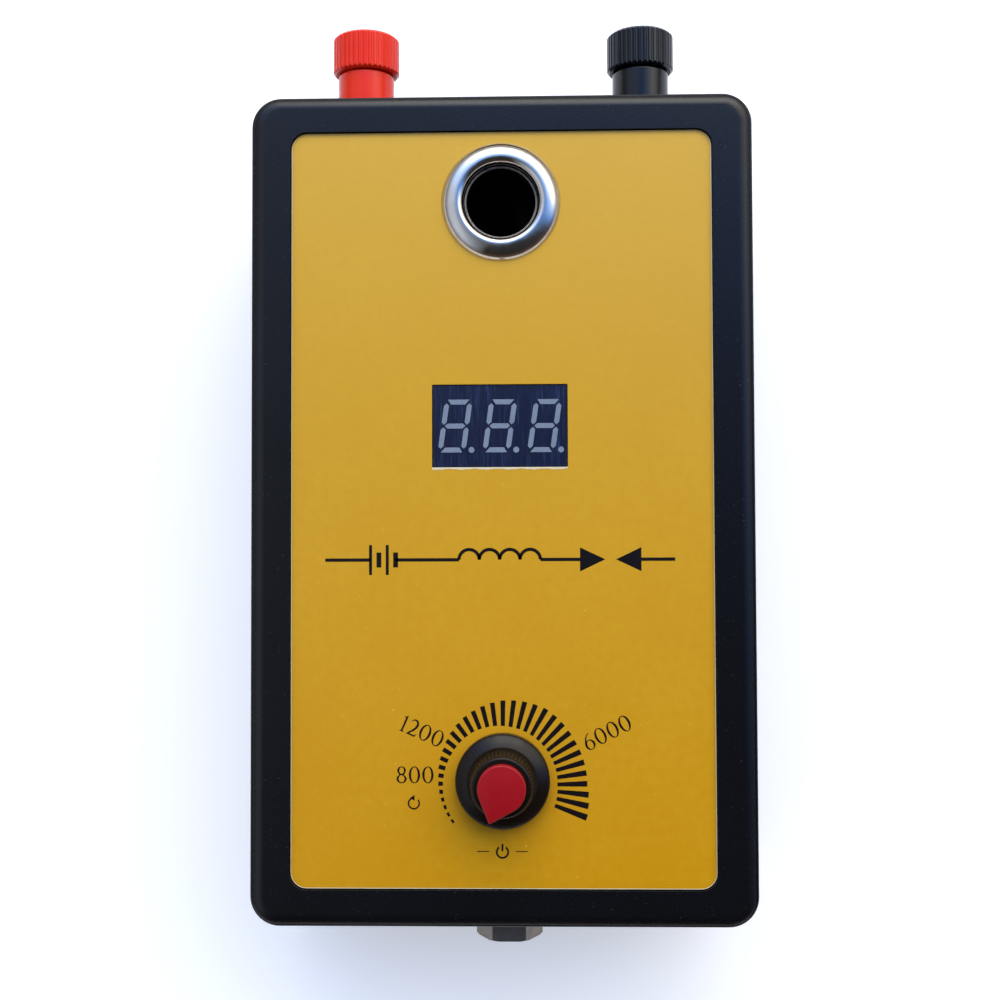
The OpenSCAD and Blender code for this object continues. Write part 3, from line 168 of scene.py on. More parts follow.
# Glass epoxy board under green solder mask: satin, with the weave faintly in it
solderMask = grainedFinish("solderMask", "#1f5a37", "#2d7048", (0.32, 0.45), 0.5, 0.004, 6.0)
# Resin bonded paper of the control's wafer, punched from sheet: brown and almost matt
bondedPaper = grainedFinish("bondedPaper", "#6a3f20", "#80502b", (0.45, 0.6), 0.3, 0.006, 2.0)
# Turned aluminium of the shaft: pale grey with a fine lathe grain
turnedAluminium = grainedFinish("turnedAluminium", "#a9aaa8", "#c6c7c4", (0.25, 0.38), 0.25, 0.004, 2.0, 1.0)
# Sintered ferrite: dark grey and matt
sinteredFerrite = grainedFinish("sinteredFerrite", "#3a3a3d", "#4b4b4f", (0.6, 0.75), 0.2, 0.01, 3.0)
# Moulded nylon of the bobbin: cream, with a waxy half shine
creamNylon = grainedFinish("creamNylon", "#d8d1bb", "#e6e0cd", (0.4, 0.55), 0.4, 0.004, 4.0)
# Wound enamelled copper wire: red-brown metal under varnish
enamelledCopper = grainedFinish("enamelledCopper", "#8a4a20", "#aa6430", (0.25, 0.4), 0.3, 0.02, 1.0, 0.6)
# Black anodised aluminium of the heat sink: dark grey with a dull metal sheen
anodisedAluminium = grainedFinish("anodisedAluminium", "#2a2b2f", "#393a3f", (0.4, 0.55), 0.3, 0.004, 4.0, 0.4)
# Shrunk sleeve of the supply capacitor: dark blue film, tight and glossy
shrunkSleeve = grainedFinish("shrunkSleeve", "#1b2d4e", "#263c62", (0.25, 0.35), 0.8, 0.004, 3.0)
# Dipped ochre epoxy of the spark capacitor: rounded, glossy and a little lumpy
dippedEpoxy = grainedFinish("dippedEpoxy", "#96691f", "#b07f30", (0.25, 0.38), 0.8, 0.01, 3.0)
# Lacquered ceramic of the resistors: tan with a dull gloss
lacqueredCeramic = grainedFinish("lacqueredCeramic", "#b79e70", "#cfb98c", (0.35, 0.5), 0.4, 0.006, 1.5)
# Extruded PVC of the wires: even colour with a soft shine
redPvc = grainedFinish("redPvc", "#a52018", "#c0302a", (0.4, 0.5), 0.5, 0.004, 3.0)
blackPvc = grainedFinish("blackPvc", "#151517", "#202023", (0.4, 0.5), 0.5, 0.004, 3.0)
bluePvc = grainedFinish("bluePvc", "#2f5f9d", "#4478b8", (0.4, 0.5), 0.5, 0.004, 3.0)

slotFinish = {
    "case_black": mouldedAbs, "screw_steel": zincSteel, "nickel": dullNickel,
    "insulator_black": mouldedPhenolic, "brass": turnedBrass, "spring_steel": drawnSteel,
    "segment_grey": milkyResin, "tinned": tinnedCopper,
    "board_green": solderMask, "wafer_brown": bondedPaper, "shaft_metal": turnedAluminium,
    "knob_black": mouldedPhenolic, "pointer_red": crimsonAcrylic, "post_red": redStyrene,
    "post_black": blackStyrene, "ferrite": sinteredFerrite, "bobbin_cream": creamNylon,
    "copper": enamelledCopper, "sink_metal": anodisedAluminium, "capacitor_blue": shrunkSleeve,
    "capacitor_ochre": dippedEpoxy, "resistor_tan": lacqueredCeramic, "wire_red": redPvc,
    "wire_black": blackPvc, "wire_blue": bluePvc,
}

# Cast epoxy of the display's face: dark navy, smooth and glossy, with upright streaks where it was wiped
epoxyFace = {"streakWide": 0.35, "streakLong": 6.0, "cloud": 7.0,  # mm
             "dark": "#0f1732", "light": "#33446f", "rough": (0.16, 0.34)}
castEpoxy, tree, shader = newMaterial("castEpoxy", "#141d3c", {"Roughness": 0.2})
place = addNode(tree, "ShaderNodeTexCoord").outputs["Object"]
streakShare = epoxyFace["streakWide"] / epoxyFace["streakLong"]
stretched = addNode(tree, "ShaderNodeMapping", {"Scale": (1.0, streakShare, 1.0)}, {"Vector": place})
streaks = addNode(tree, "ShaderNodeTexNoise", {"Scale": perMm(epoxyFace["streakWide"]), "Detail": 2.0},
                  {"Vector": stretched.outputs[0]})
cloudy = addNode(tree, "ShaderNodeTexNoise", {"Scale": perMm(epoxyFace["cloud"]), "Detail": 2.0},
                 {"Vector": place})
wiped = addNode(tree, "ShaderNodeMapRange", {"From Min": 0.48, "From Max": 0.8},
                {"Value": streaks.outputs["Fac"]})
patchy = addNode(tree, "ShaderNodeMapRange", {"From Min": 0.4, "From Max": 0.7},
                 {"Value": cloudy.outputs["Fac"]})
amount = addNode(tree, "ShaderNodeMath", {"operation": "MULTIPLY"},
                 {0: wiped.outputs["Result"], 1: patchy.outputs["Result"]})
navy = addNode(tree, "ShaderNodeMix", {"data_type": "RGBA", 6: linear(epoxyFace["dark"]),
               7: linear(epoxyFace["light"])}, {0: amount.outputs[0]})
dulled = addNode(tree, "ShaderNodeMapRange", {"To Min": epoxyFace["rough"][0], "To Max": epoxyFace["rough"][1]},
                 {"Value": streaks.outputs["Fac"]})
tree.links.new(navy.outputs[2], shader.inputs["Base Color"])
tree.links.new(dulled.outputs["Result"], shader.inputs["Roughness"])
slotFinish["display_navy"] = castEpoxy

# Printed polyester label under a clear laminate: warm yellow, made paler towards the top end as painted light
# from that end, with a fine canvas emboss and stray specks
labelPrint = {"weave": 0.42, "emboss": 0.009, "speck": 0.5, "cloud": 18.0, "mottle": 1.6, "paintedLightSpan": 63,  # mm
              "low": "#d09302", "high": "#d8a726", "pale": "#e6b52c", "dust": "#e8c566", "uneven": 0.2}
laminatedLabel, tree, shader = newMaterial("laminatedLabel", "#cf9e18", {"Roughness": 0.28})
place = addNode(tree, "ShaderNodeTexCoord").outputs["Object"]
cloudy = addNode(tree, "ShaderNodeTexNoise", {"Scale": perMm(labelPrint["cloud"]), "Detail": 4.0},
                 {"Vector": place})
mottle = addNode(tree, "ShaderNodeTexNoise", {"Scale": perMm(labelPrint["mottle"]), "Detail": 3.0},
                 {"Vector": place})
specks = addNode(tree, "ShaderNodeTexNoise", {"Scale": perMm(labelPrint["speck"]), "Detail": 1.0},
                 {"Vector": place})
waveScale = perMm(labelPrint["weave"]) * 2 * math.pi / 20  # a wave texture repeats every 2 pi / 20 units
warp, weft = [addNode(tree, "ShaderNodeTexWave", {"bands_direction": direction, "Scale": waveScale,
              "Distortion": 0.6}, {"Vector": place}) for direction in ("X", "Y")]
canvas = addNode(tree, "ShaderNodeMath", {"operation": "MULTIPLY"},
                 {0: warp.outputs["Fac"], 1: weft.outputs["Fac"]})
along = addNode(tree, "ShaderNodeSeparateXYZ", {}, {0: place})
# Painted light: the yellow runs from the low colour at the lower end to the paler high colour at the top end
paintedLightShare = addNode(tree, "ShaderNodeMapRange", {"From Min": -labelPrint["paintedLightSpan"] * mm,
                "From Max": labelPrint["paintedLightSpan"] * mm}, {"Value": along.outputs["Y"]})
paintedLightGround = addNode(tree, "ShaderNodeMix", {"data_type": "RGBA", 6: linear(labelPrint["low"]),
                 7: linear(labelPrint["high"])}, {0: paintedLightShare.outputs["Result"]})
shade = addNode(tree, "ShaderNodeMath", {"operation": "MULTIPLY"},
                {0: cloudy.outputs["Fac"], 1: mottle.outputs["Fac"]})
uneven = addNode(tree, "ShaderNodeMapRange", {"From Min": 0.12, "From Max": 0.42, "To Min": 0.0,
                 "To Max": labelPrint["uneven"]}, {"Value": shade.outputs[0]})
mottled = addNode(tree, "ShaderNodeMix", {"data_type": "RGBA", 7: linear(labelPrint["pale"])},
                  {0: uneven.outputs["Result"], 6: paintedLightGround.outputs[2]})
dots = addNode(tree, "ShaderNodeMapRange", {"From Min": 0.77, "From Max": 0.83},
               {"Value": specks.outputs["Fac"]})
speckled = addNode(tree, "ShaderNodeMix", {"data_type": "RGBA", 7: linear(labelPrint["dust"])},
                   {0: dots.outputs["Result"], 6: mottled.outputs[2]})
emboss = addNode(tree, "ShaderNodeBump", {"Distance": labelPrint["emboss"] * mm},
                 {"Height": canvas.outputs[0]})
tree.links.new(speckled.outputs[2], shader.inputs["Base Color"])
tree.links.new(emboss.outputs["Normal"], shader.inputs["Normal"])
# White paper core of the label, bare and matt where its edge is cut
paperCore = grainedFinish("paperCore", "#dccb9c", "#ece0bd", (0.6, 0.8), 0.2, 0.01, 1.0)
# Screen printed ink: near black, slightly glossy under the laminate
screenInk = grainedFinish("screenInk", "#0e090a", "#171011", (0.3, 0.4), 0.4, 0.003, 4.0,
                          settings={"Specular IOR Level": 0.2})

# Moulded phenolic of the spark chamber: black, with a pale painted highlight along its top rim
rimGlint = {"from": 40.4, "to": 40.85, "grain": 0.4,  # mm, heights between which the painted highlight sets in
         "dark": "#0b0908", "pale": "#b3a79b", "rough": (0.2, 0.5)}
rimGlintPhenolic, tree, shader = newMaterial("rimGlintPhenolic", rimGlint["dark"], {"Specular IOR Level": 0.3})
place = addNode(tree, "ShaderNodeTexCoord").outputs["Object"]
depth = addNode(tree, "ShaderNodeSeparateXYZ", {}, {0: place})
glintBand = addNode(tree, "ShaderNodeMapRange", {"From Min": rimGlint["from"] * mm, "From Max": rimGlint["to"] * mm},
                  {"Value": depth.outputs["Z"]})
glintNoise = addNode(tree, "ShaderNodeTexNoise", {"Scale": perMm(rimGlint["grain"]), "Detail": 2.0},
                    {"Vector": place})
paintedGlint = addNode(tree, "ShaderNodeMath", {"operation": "MULTIPLY"},
               {0: glintBand.outputs["Result"], 1: glintNoise.outputs["Fac"]})
glintColour = addNode(tree, "ShaderNodeMix", {"data_type": "RGBA", 6: linear(rimGlint["dark"]),
                  7: linear(rimGlint["pale"])}, {0: paintedGlint.outputs[0]})
gloss = addNode(tree, "ShaderNodeMapRange", {"To Min": rimGlint["rough"][0], "To Max": rimGlint["rough"][1]},
                {"Value": paintedGlint.outputs[0]})
tree.links.new(glintColour.outputs[2], shader.inputs["Base Color"])
tree.links.new(gloss.outputs["Result"], shader.inputs["Roughness"])
print("materials made:", len(bpy.data.materials))


# New pieces: a mesh becomes an object at the origin that rides on a body
def addPiece(name, bm, materials, body, stands=(), smooth=35):
    mesh = bpy.data.meshes.new(name)
    bm.to_mesh(mesh)
    bm.free()
    for material in materials:
        mesh.materials.append(material)
    mesh.shade_smooth()
    piece = bpy.data.objects.new(name, mesh)
    bpy.context.scene.collection.objects.link(piece)
    if smooth:
        split = piece.modifiers.new("sharpEdges", "EDGE_SPLIT")
        split.split_angle = math.radians(smooth)
    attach(piece, body)
    if stands:
        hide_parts(*stands)
    return piece


# Turns an outline of (radius, height) points about the upright line through a centre
def spunSolid(outline, centre, steps=96):
    bm = bmesh.new()
    verts = [bm.verts.new((r, 0, z)) for r, z in outline]
    edges = [bm.edges.new((a, b)) for a, b in zip(verts, verts[1:] + verts[:1])]
    bmesh.ops.spin(bm, geom=verts + edges, axis=(0, 0, 1), cent=(0, 0, 0), angle=2 * math.pi, steps=steps,
                   use_merge=True, use_duplicate=False)
    bmesh.ops.remove_doubles(bm, verts=bm.verts, dist=0.001)
    bmesh.ops.dissolve_degenerate(bm, edges=bm.edges, dist=0.0005)
    bmesh.ops.recalc_face_normals(bm, faces=bm.faces)
    bmesh.ops.transform(bm, matrix=Matrix.Scale(mm, 4) @ Matrix.Translation(centre), verts=bm.verts)
    return bm


# Points of an arc, in degrees, for an outline
def arc(centre, radius, start, end, steps):
    turns = [math.radians(start + (end - start) * i / steps) for i in range(steps + 1)]
    return [(centre[0] + radius * math.cos(a), centre[1] + radius * math.sin(a)) for a in turns]


# Points of a closed oval
def oval(centre, wide, high, steps=28):
    turns = [2 * math.pi * i / steps for i in range(steps)]
    return [(centre[0] + wide * math.cos(a), centre[1] + high * math.sin(a)) for a in turns]


# A flat sheet between closed outlines, the first round the others, filled and then raised
def raisedSheet(outlines, low, thickness):
    bm = bmesh.new()
    for outline in outlines:
        verts = [bm.verts.new((x, y, low)) for x, y in outline]
        for a, b in zip(verts, verts[1:] + verts[:1]):
            bm.edges.new((a, b))
    bmesh.ops.triangle_fill(bm, use_beauty=True, use_dissolve=False, edges=bm.edges)
    raised = bmesh.ops.extrude_face_region(bm, geom=bm.faces)
    tops = [v for v in raised["geom"] if isinstance(v, bmesh.types.BMVert)]
    bmesh.ops.translate(bm, vec=(0, 0, thickness), verts=tops)
    bmesh.ops.recalc_face_normals(bm, faces=bm.faces)
    return bm


def roundedRect(w, l, r, centre=(0, 0), steps=8):
    x, y = w / 2 - r, l / 2 - r
    corners = [((x, y), 0), ((-x, y), 90), ((-x, -y), 180), ((x, -y), 270)]
    return [(px + centre[0], py + centre[1]) for c, a in corners for px, py in arc(c, r, a, a + 90, steps)]


def joinInto(whole, part):
    mesh = bpy.data.meshes.new("part")
    part.to_mesh(mesh)
    part.free()
    whole.from_mesh(mesh)
    bpy.data.meshes.remove(mesh)


def middleOf(node):
    low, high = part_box(node)
    return (low + high) / 2 / mm


def spanOf(node):
    low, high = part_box(node)
    return (high - low) / mm


# Label: a laminated sheet, with a thin line of its paper core bare where the edge was cut, narrowed at the top
# as painted shade
label = {"corner": 2.65, "cut": 0.12, "cutTopShaded": 0.024, "holePort": 15.0, "holePot": 7.3, "holeSteps": 48,
         "windowGap": 0.12, "windowCorner": 0.15}
labelLow, labelHigh = (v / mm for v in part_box("front_label"))
labelSpan = labelHigh - labelLow
labelMiddle = (labelLow + labelHigh) / 2
port = middleOf("plug_eyelet")
pot = middleOf("pot_shaft")
screen = middleOf("display_housing")
screenSpan = spanOf("display_housing")
windowSize = [screenSpan.x + 2 * label["windowGap"], screenSpan.y + 2 * label["windowGap"]]
cut, cutTopShaded = label["cut"], label["cutTopShaded"]
outer = roundedRect(labelSpan.x, labelSpan.y, label["corner"], (labelMiddle.x, labelMiddle.y))
inner = roundedRect(labelSpan.x - 2 * cut, labelSpan.y - cut - cutTopShaded, label["corner"] - cut,
                    (labelMiddle.x, labelMiddle.y + (cut - cutTopShaded) / 2))
holes = [oval((port.x, port.y), label["holePort"] / 2, label["holePort"] / 2, label["holeSteps"]),
         roundedRect(windowSize[0], windowSize[1], label["windowCorner"], (screen.x, screen.y), 2),
         oval((pot.x, pot.y), label["holePot"] / 2, label["holePot"] / 2, label["holeSteps"])]
whole = bmesh.new()
for index, outlines in enumerate(([inner] + holes, [outer, inner])):
    bm = raisedSheet(outlines, labelLow.z, labelSpan.z)
    for face in bm.faces:
        face.material_index = index
    bmesh.ops.scale(bm, vec=(mm, mm, mm), verts=bm.verts)
    joinInto(whole, bm)
addPiece("labelSheet", whole, [laminatedLabel, paperCore], "case", ["front_label"], 20)
print("label made")

# Plug port's eyelet: drawn sheet with a round crown that slopes out to the label and rolls into a wide mouth
eyelet = {"bore": 6.3, "mouth": 1.1, "mouthStart": 97,  # mm, degrees
          "sheet": 0.45, "roll": 0.6, "rollOut": 1.0}
eyeletLow, eyeletHigh = (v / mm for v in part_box("plug_eyelet"))
flangeR = (eyeletHigh.x - eyeletLow.x) / 2
boreR, mouthR = eyelet["bore"], eyelet["mouth"]
flangeZ, crownZ = labelHigh.z, eyeletHigh.z
crownR = boreR + mouthR
slopeR = ((flangeR - crownR) ** 2 + (crownZ - flangeZ) ** 2) / (2 * (crownZ - flangeZ))
slopeEnd = math.degrees(math.acos((flangeR - crownR) / slopeR))
barrelR = boreR + eyelet["sheet"]
rollR, rollZ = barrelR + eyelet["rollOut"], eyeletLow.z + eyelet["roll"]
outline = arc((crownR, crownZ - slopeR), slopeR, slopeEnd, 90, 16)
outline += arc((crownR, crownZ - mouthR), mouthR, eyelet["mouthStart"], 180, 12)
outline += [(boreR, eyeletLow.z), (rollR, eyeletLow.z), (rollR, rollZ), (barrelR, rollZ), (barrelR, flangeZ)]
bm = spunSolid(outline, (port.x, port.y, 0))
addPiece("plugEyelet", bm, [brightNickel], "case", ["plug_eyelet"])
print("eyelet made")

# Knob: an edge with a rounded lip, a crowned skirt and a tapered grip, hollow below, with a pinhole at its top
knob = {"foot": 11.2, "top": 9.9, "skirtHeight": 3.4, "chamfer": 0.25, "edge": 1.9, "lip": 0.45, "crown": 11.8,
        "lipTurn": 56, "crownTurn": 66,  # degrees above level where the lip and then the crown end
        "fillet": (0.12, 0.1), "round": 0.5, "roundStart": 8, "pinhole": 0.4, "roof": 1.0, "shaft": 3.05,
        "neck": 3.9, "neckHeight": 2.9, "hollow": 6.27, "hollowHeight": 2.2}
knobLow, knobHigh = (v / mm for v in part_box("knob_body"))
skirtR = (knobHigh.x - knobLow.x) / 2
baseZ, headZ = knobLow.z, knobHigh.z
lipX, lipZ, swell = skirtR - knob["lip"], baseZ + knob["edge"], knob["crown"] - knob["lip"]
lipTurn = math.radians(knob["lipTurn"])
roundR = knob["round"]
roofZ, neckZ, hollowZ = headZ - knob["roof"], baseZ + knob["neckHeight"], baseZ + knob["hollowHeight"]
outline = [(skirtR - knob["chamfer"], baseZ), (skirtR, baseZ + knob["chamfer"])]
outline += arc((lipX, lipZ), knob["lip"], 0, knob["lipTurn"], 3)
outline += arc((lipX - swell * math.cos(lipTurn), lipZ - swell * math.sin(lipTurn)), knob["crown"],
               knob["lipTurn"], knob["crownTurn"], 8)
outline.append((knob["foot"] / 2 + knob["fillet"][0], baseZ + knob["skirtHeight"] + knob["fillet"][1]))
outline += arc((knob["top"] / 2 - roundR, headZ - roundR), roundR, knob["roundStart"], 90, 6)
outline += [(knob["pinhole"], headZ), (knob["pinhole"], roofZ), (knob["shaft"], roofZ), (knob["shaft"], neckZ),
            (knob["neck"], neckZ), (knob["neck"], hollowZ), (knob["hollow"], hollowZ), (knob["hollow"], baseZ)]
bm = spunSolid(outline, (pot.x, pot.y, 0))
addPiece("knobBody", bm, [mouldedPhenolic], "knob", ["knob_body"], 24)

# Pointer cap: a teardrop plate with a soft upper edge
pointer = {"round": 3.9, "reach": 5.7, "tip": 0.25, "angle": 250, "soft": 0.55}  # mm, degrees
pointerLow, pointerHigh = (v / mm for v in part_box("knob_pointer"))
flank = math.degrees(math.asin((pointer["round"] - pointer["tip"]) / (pointer["reach"] - pointer["tip"])))
teardrop = arc((0, 0), pointer["round"], 90 - flank, 270 + flank, 40)
teardrop += arc((pointer["reach"] - pointer["tip"], 0), pointer["tip"], flank - 90, 90 - flank, 6)
bm = raisedSheet([teardrop], pointerLow.z, pointerHigh.z - pointerLow.z)
bmesh.ops.dissolve_limit(bm, angle_limit=math.radians(1), verts=bm.verts, edges=bm.edges)
topEdges = [e for e in bm.edges if all(v.co.z > pointerHigh.z - 0.01 for v in e.verts)]
bmesh.ops.bevel(bm, geom=topEdges, offset=pointer["soft"], offset_type="OFFSET", segments=5, profile=0.5,
                affect="EDGES", material=-1, clamp_overlap=True)
bmesh.ops.transform(bm, matrix=Matrix.Scale(mm, 4) @ Matrix.Translation((pot.x, pot.y, 0))
                    @ Matrix.Rotation(math.radians(pointer["angle"]), 4, "Z"), verts=bm.verts)
addPiece("knobPointer", bm, [crimsonAcrylic], "knob", ["knob_pointer"], 40)
print("knob made")

# Dial: marks that grow from dots to bars as the speed rises, printed on the label
inkLow, inkThick = labelHigh.z, 0.02
dial = {"centre": (0.0, -46.3), "count": 33, "first": 214.9, "last": -20.6, "bold": 1.12}  # mm, degrees
# Mark number, then its inner radius, length, inner width and outer width in mm; the rest lie between these
markSizes = [
    (1, 10.0, 0.4, 0.6, 0.6), (4, 10.0, 0.5, 0.6, 0.6), (7, 9.95, 0.9, 0.62, 0.62),
    (10, 10.0, 1.6, 0.62, 0.65), (14, 10.15, 2.9, 0.62, 0.68), (18, 9.9, 4.2, 0.6, 0.72),
    (22, 9.6, 5.0, 0.55, 0.78), (26, 9.3, 4.8, 0.55, 0.8), (30, 9.05, 4.95, 0.55, 0.85),
    (33, 9.2, 5.65, 0.55, 0.95)]


def between(table, key):
    for low, high in zip(table, table[1:]):
        if low[0] <= key <= high[0]:
            share = (key - low[0]) / (high[0] - low[0])
            return [a + (b - a) * share for a, b in zip(low[1:], high[1:])]


marks = bmesh.new()
for k in range(dial["count"]):
    start, length, innerWide, outerWide = between(markSizes, k + 1)
    innerWide, outerWide = innerWide * dial["bold"], outerWide * dial["bold"]
    angle = dial["first"] + (dial["last"] - dial["first"]) * k / (dial["count"] - 1)
    bar = [(start, -innerWide / 2), (start + length, -outerWide / 2), (start + length, outerWide / 2),
           (start, innerWide / 2)]
    bm = raisedSheet([bar], inkLow, inkThick)
    bmesh.ops.transform(bm, matrix=Matrix.Scale(mm, 4) @ Matrix.Translation((*dial["centre"], 0))
                        @ Matrix.Rotation(math.radians(angle), 4, "Z"), verts=bm.verts)
    joinInto(marks, bm)
addPiece("dialMarks", marks, [screenInk], "case", smooth=30)


# Outline of two ovals, one above the other, as a figure eight has
def waisted(low, high, steps=18):
    side = []
    for i in range(steps + 1):
        y = 0.5 - 0.5 * math.cos(math.pi * i / steps)
        reach = [w * math.sqrt(max(0.0, 1 - ((y - c) / h) ** 2)) for c, w, h in (low, high)]
        side.append((max(reach), y))
    return side + [(-x, y) for x, y in reversed(side[1:-1])]


# Dial figures with thick and thin strokes, as width and shapes in units of the figure's height
figures = {
    "0": (0.8, [[oval((0, 0.5), 0.335, 0.5), oval((0, 0.5), 0.2, 0.45)]]),
    "8": (0.73, [[waisted((0.265, 0.3, 0.265), (0.755, 0.255, 0.245)), oval((0, 0.27), 0.175, 0.21),
                  oval((0, 0.755), 0.14, 0.19)]]),
    "6": (0.74, [[oval((0, 0.31), 0.3, 0.31), oval((0, 0.31), 0.175, 0.26)],
                 [[(-0.28, 0.33), (-0.24, 0.55), (-0.11, 0.8), (0.06, 0.95), (0.2, 1.0), (0.21, 0.97),
                   (0.09, 0.9), (-0.04, 0.76), (-0.13, 0.57), (-0.165, 0.36)]]]),
    "1": (0.5, [[[(-0.13, 0), (0.15, 0), (0.15, 0.03), (0.065, 0.06), (0.065, 1.0), (0.04, 1.0), (-0.15, 0.87),
                   (-0.14, 0.83), (-0.045, 0.87), (-0.045, 0.06), (-0.13, 0.03)]]]),
    "2": (0.7, [[[(-0.29, 0), (0.24, 0), (0.3, 0.2), (0.27, 0.2), (0.2, 0.09), (-0.12, 0.09), (0.08, 0.32),
                  (0.2, 0.52), (0.24, 0.72), (0.19, 0.89), (0.07, 0.985), (-0.05, 1.0), (-0.18, 0.94),
                  (-0.26, 0.8), (-0.24, 0.78), (-0.15, 0.88), (-0.05, 0.91), (0.05, 0.87), (0.11, 0.74),
                  (0.08, 0.56), (-0.05, 0.33), (-0.29, 0.03)]]]),
}
# Each number's middle in mm and its turn in degrees
numbers = [("800", (-14.6, -44.5), 0), ("1200", (-13.4, -37.3), -24), ("6000", (17.3, -37.5), 27)]
figureHeight = 2.8  # mm
numerals = bmesh.new()
for digits, centre, turn in numbers:
    widths = [figures[d][0] for d in digits]
    start = -sum(widths) / 2
    for digit, wide in zip(digits, widths):
        for shape in figures[digit][1]:
            bm = raisedSheet(shape, 0, inkThick / figureHeight)
            bmesh.ops.translate(bm, vec=(start + wide / 2, -0.5, 0), verts=bm.verts)
            bmesh.ops.transform(bm, matrix=Matrix.Scale(mm, 4) @ Matrix.Translation((*centre, inkLow))
                                @ Matrix.Rotation(math.radians(turn), 4, "Z")
                                @ Matrix.Scale(figureHeight, 4), verts=bm.verts)
            joinInto(numerals, bm)
        start += wide
addPiece("dialNumbers", numerals, [screenInk], "case", smooth=30)
print("dial printed")


def strokeArc(centre, radius, line, start, end, steps=24):
    return arc(centre, radius + line / 2, start, end, steps) + arc(centre, radius - line / 2, end, start, steps)


def box2d(low, high):
    return [low, (high[0], low[1]), high, (low[0], high[1])]


# Circuit line on the label: two cells, a coil and a spark gap between two arrowheads, in mm from its centre
circuit = {"centre": (-0.4, -8.8), "half": 29.2, "line": 0.55, "tall": 2.5, "hump": 1.7, "humps": 4,
           "plates": (-21.6, -20.2, -18.8, -17.4), "plateThin": 0.25, "plateThick": 0.4,
           "heads": (13.4, 23.6), "headLong": 4.2, "headHalf": 2.0}
reach, thin, tall = circuit["half"], circuit["line"] / 2, circuit["tall"]
coilHalf = circuit["hump"] * circuit["humps"]
plates, plateThin, plateThick = circuit["plates"], circuit["plateThin"], circuit["plateThick"]
headLeft, headRight = circuit["heads"]
headLong, headHalf = circuit["headLong"], circuit["headHalf"]
circuitShape = [box2d((-reach, -thin), (plates[0], thin)), box2d((plates[3], -thin), (-coilHalf, thin)),
                box2d((coilHalf, -thin), (headLeft, thin)), box2d((headRight, -thin), (reach, thin))]
circuitShape += [box2d((x - plateThin, -tall), (x + plateThin, tall)) for x in plates[::2]]
circuitShape += [box2d((x - plateThick, -tall / 2), (x + plateThick, tall / 2)) for x in plates[1::2]]
circuitShape += [strokeArc((circuit["hump"] * (2 * k + 1 - circuit["humps"]), 0), circuit["hump"],
                           circuit["line"], 180, 0) for k in range(circuit["humps"])]
circuitShape += [[(headLeft, -headHalf), (headLeft + headLong, 0), (headLeft, headHalf)],
                 [(headRight, headHalf), (headRight - headLong, 0), (headRight, -headHalf)]]

# Turn arrow beside the dial, and a power mark with a short rule on each side below it
turnArrow = {"centre": (-14.8, -49.2), "radius": 0.9, "line": 0.26, "sweep": (100, 400),  # mm, degrees
             "head": [(-0.62, 0.9), (0.12, 0.42), (0.12, 1.38)]}
turnShape = [strokeArc((0, 0), turnArrow["radius"], turnArrow["line"], *turnArrow["sweep"]), turnArrow["head"]]
powerMark = {"centre": (-0.1, -57.1), "radius": 0.95, "line": 0.3, "sweep": (125, 415), "drop": 0.1,
             "stem": (0.05, 1.25), "rule": (2.2, 4.2)}  # mm, degrees
half = powerMark["line"] / 2
powerShape = [strokeArc((0, -powerMark["drop"]), powerMark["radius"], powerMark["line"], *powerMark["sweep"]),
              box2d((-half, powerMark["stem"][0]), (half, powerMark["stem"][1]))]
powerShape += [box2d((way * powerMark["rule"][0], -half / 2), (way * powerMark["rule"][1], half / 2))
               for way in (-1, 1)]
symbols = bmesh.new()
for centre, shapes in ((circuit["centre"], circuitShape), (turnArrow["centre"], turnShape),
                       (powerMark["centre"], powerShape)):
    for shape in shapes:
        bm = raisedSheet([shape], inkLow, inkThick)
        bmesh.ops.transform(bm, matrix=Matrix.Scale(mm, 4) @ Matrix.Translation((*centre, 0)), verts=bm.verts)
        joinInto(symbols, bm)
addPiece("labelSymbols", symbols, [screenInk], "case", smooth=30)

# Paper left at the lower edge of the window where the knife cut wide: a thin uneven strip on the label
strip = {"wide": 0.32, "uneven": 0.12, "steps": 40, "thick": 0.03, "tuck": 0.02}
left, right = screen.x - windowSize[0] / 2, screen.x + windowSize[0] / 2
bottom = screen.y - windowSize[1] / 2
upper, lower = [], []
for i in range(strip["steps"] + 1):
    x = left + (right - left) * i / strip["steps"]
    waver = strip["uneven"] * (math.sin(i * 0.9) + math.sin(i * 2.3 + 1) * 0.5) / 1.5  # two waves out of step
    upper.append((x, bottom + strip["tuck"]))
    lower.append((x, bottom - strip["wide"] - waver))
bm = raisedSheet([upper + lower[::-1]], inkLow, strip["thick"])
bmesh.ops.scale(bm, vec=(mm, mm, mm), verts=bm.verts)
addPiece("windowPaperEdge", bm, [paperCore], "case", smooth=30)
print("symbols printed")

# The other nodes keep their CAD shape: seams are welded, flat faces stay flat and round ones look round
cadShading = {"seam": 0.002, "sharp": 32, "weight": 80}  # mm, degrees
slotOf = {part["node"]: part["material_slot"] for part in frame["record"]["subparts"]}
for name, node in nodes.items():
    if node.hide_render:
        continue
    node.data.materials.clear()
    node.data.materials.append(slotFinish[slotOf[name]])
    node.data.shade_smooth()
    weld = node.modifiers.new("seams", "WELD")
    weld.merge_threshold = cadShading["seam"] * mm
    split = node.modifiers.new("sharpEdges", "EDGE_SPLIT")
    split.split_angle = math.radians(cadShading["sharp"])
    flats = node.modifiers.new("flatFaces", "WEIGHTED_NORMAL")
    flats.weight = cadShading["weight"]
# The jack's nut and shell take the nickel darkened as painted shade
ownFinish = {"jack_nut": shadeDarkenedNickel, "jack_shell": shadeDarkenedNickel, "contact_button": burntBrass,
             "spark_chamber": rimGlintPhenolic}
for name, finish in ownFinish.items():
    nodes[name].data.materials[0] = finish
print("CAD nodes dressed")

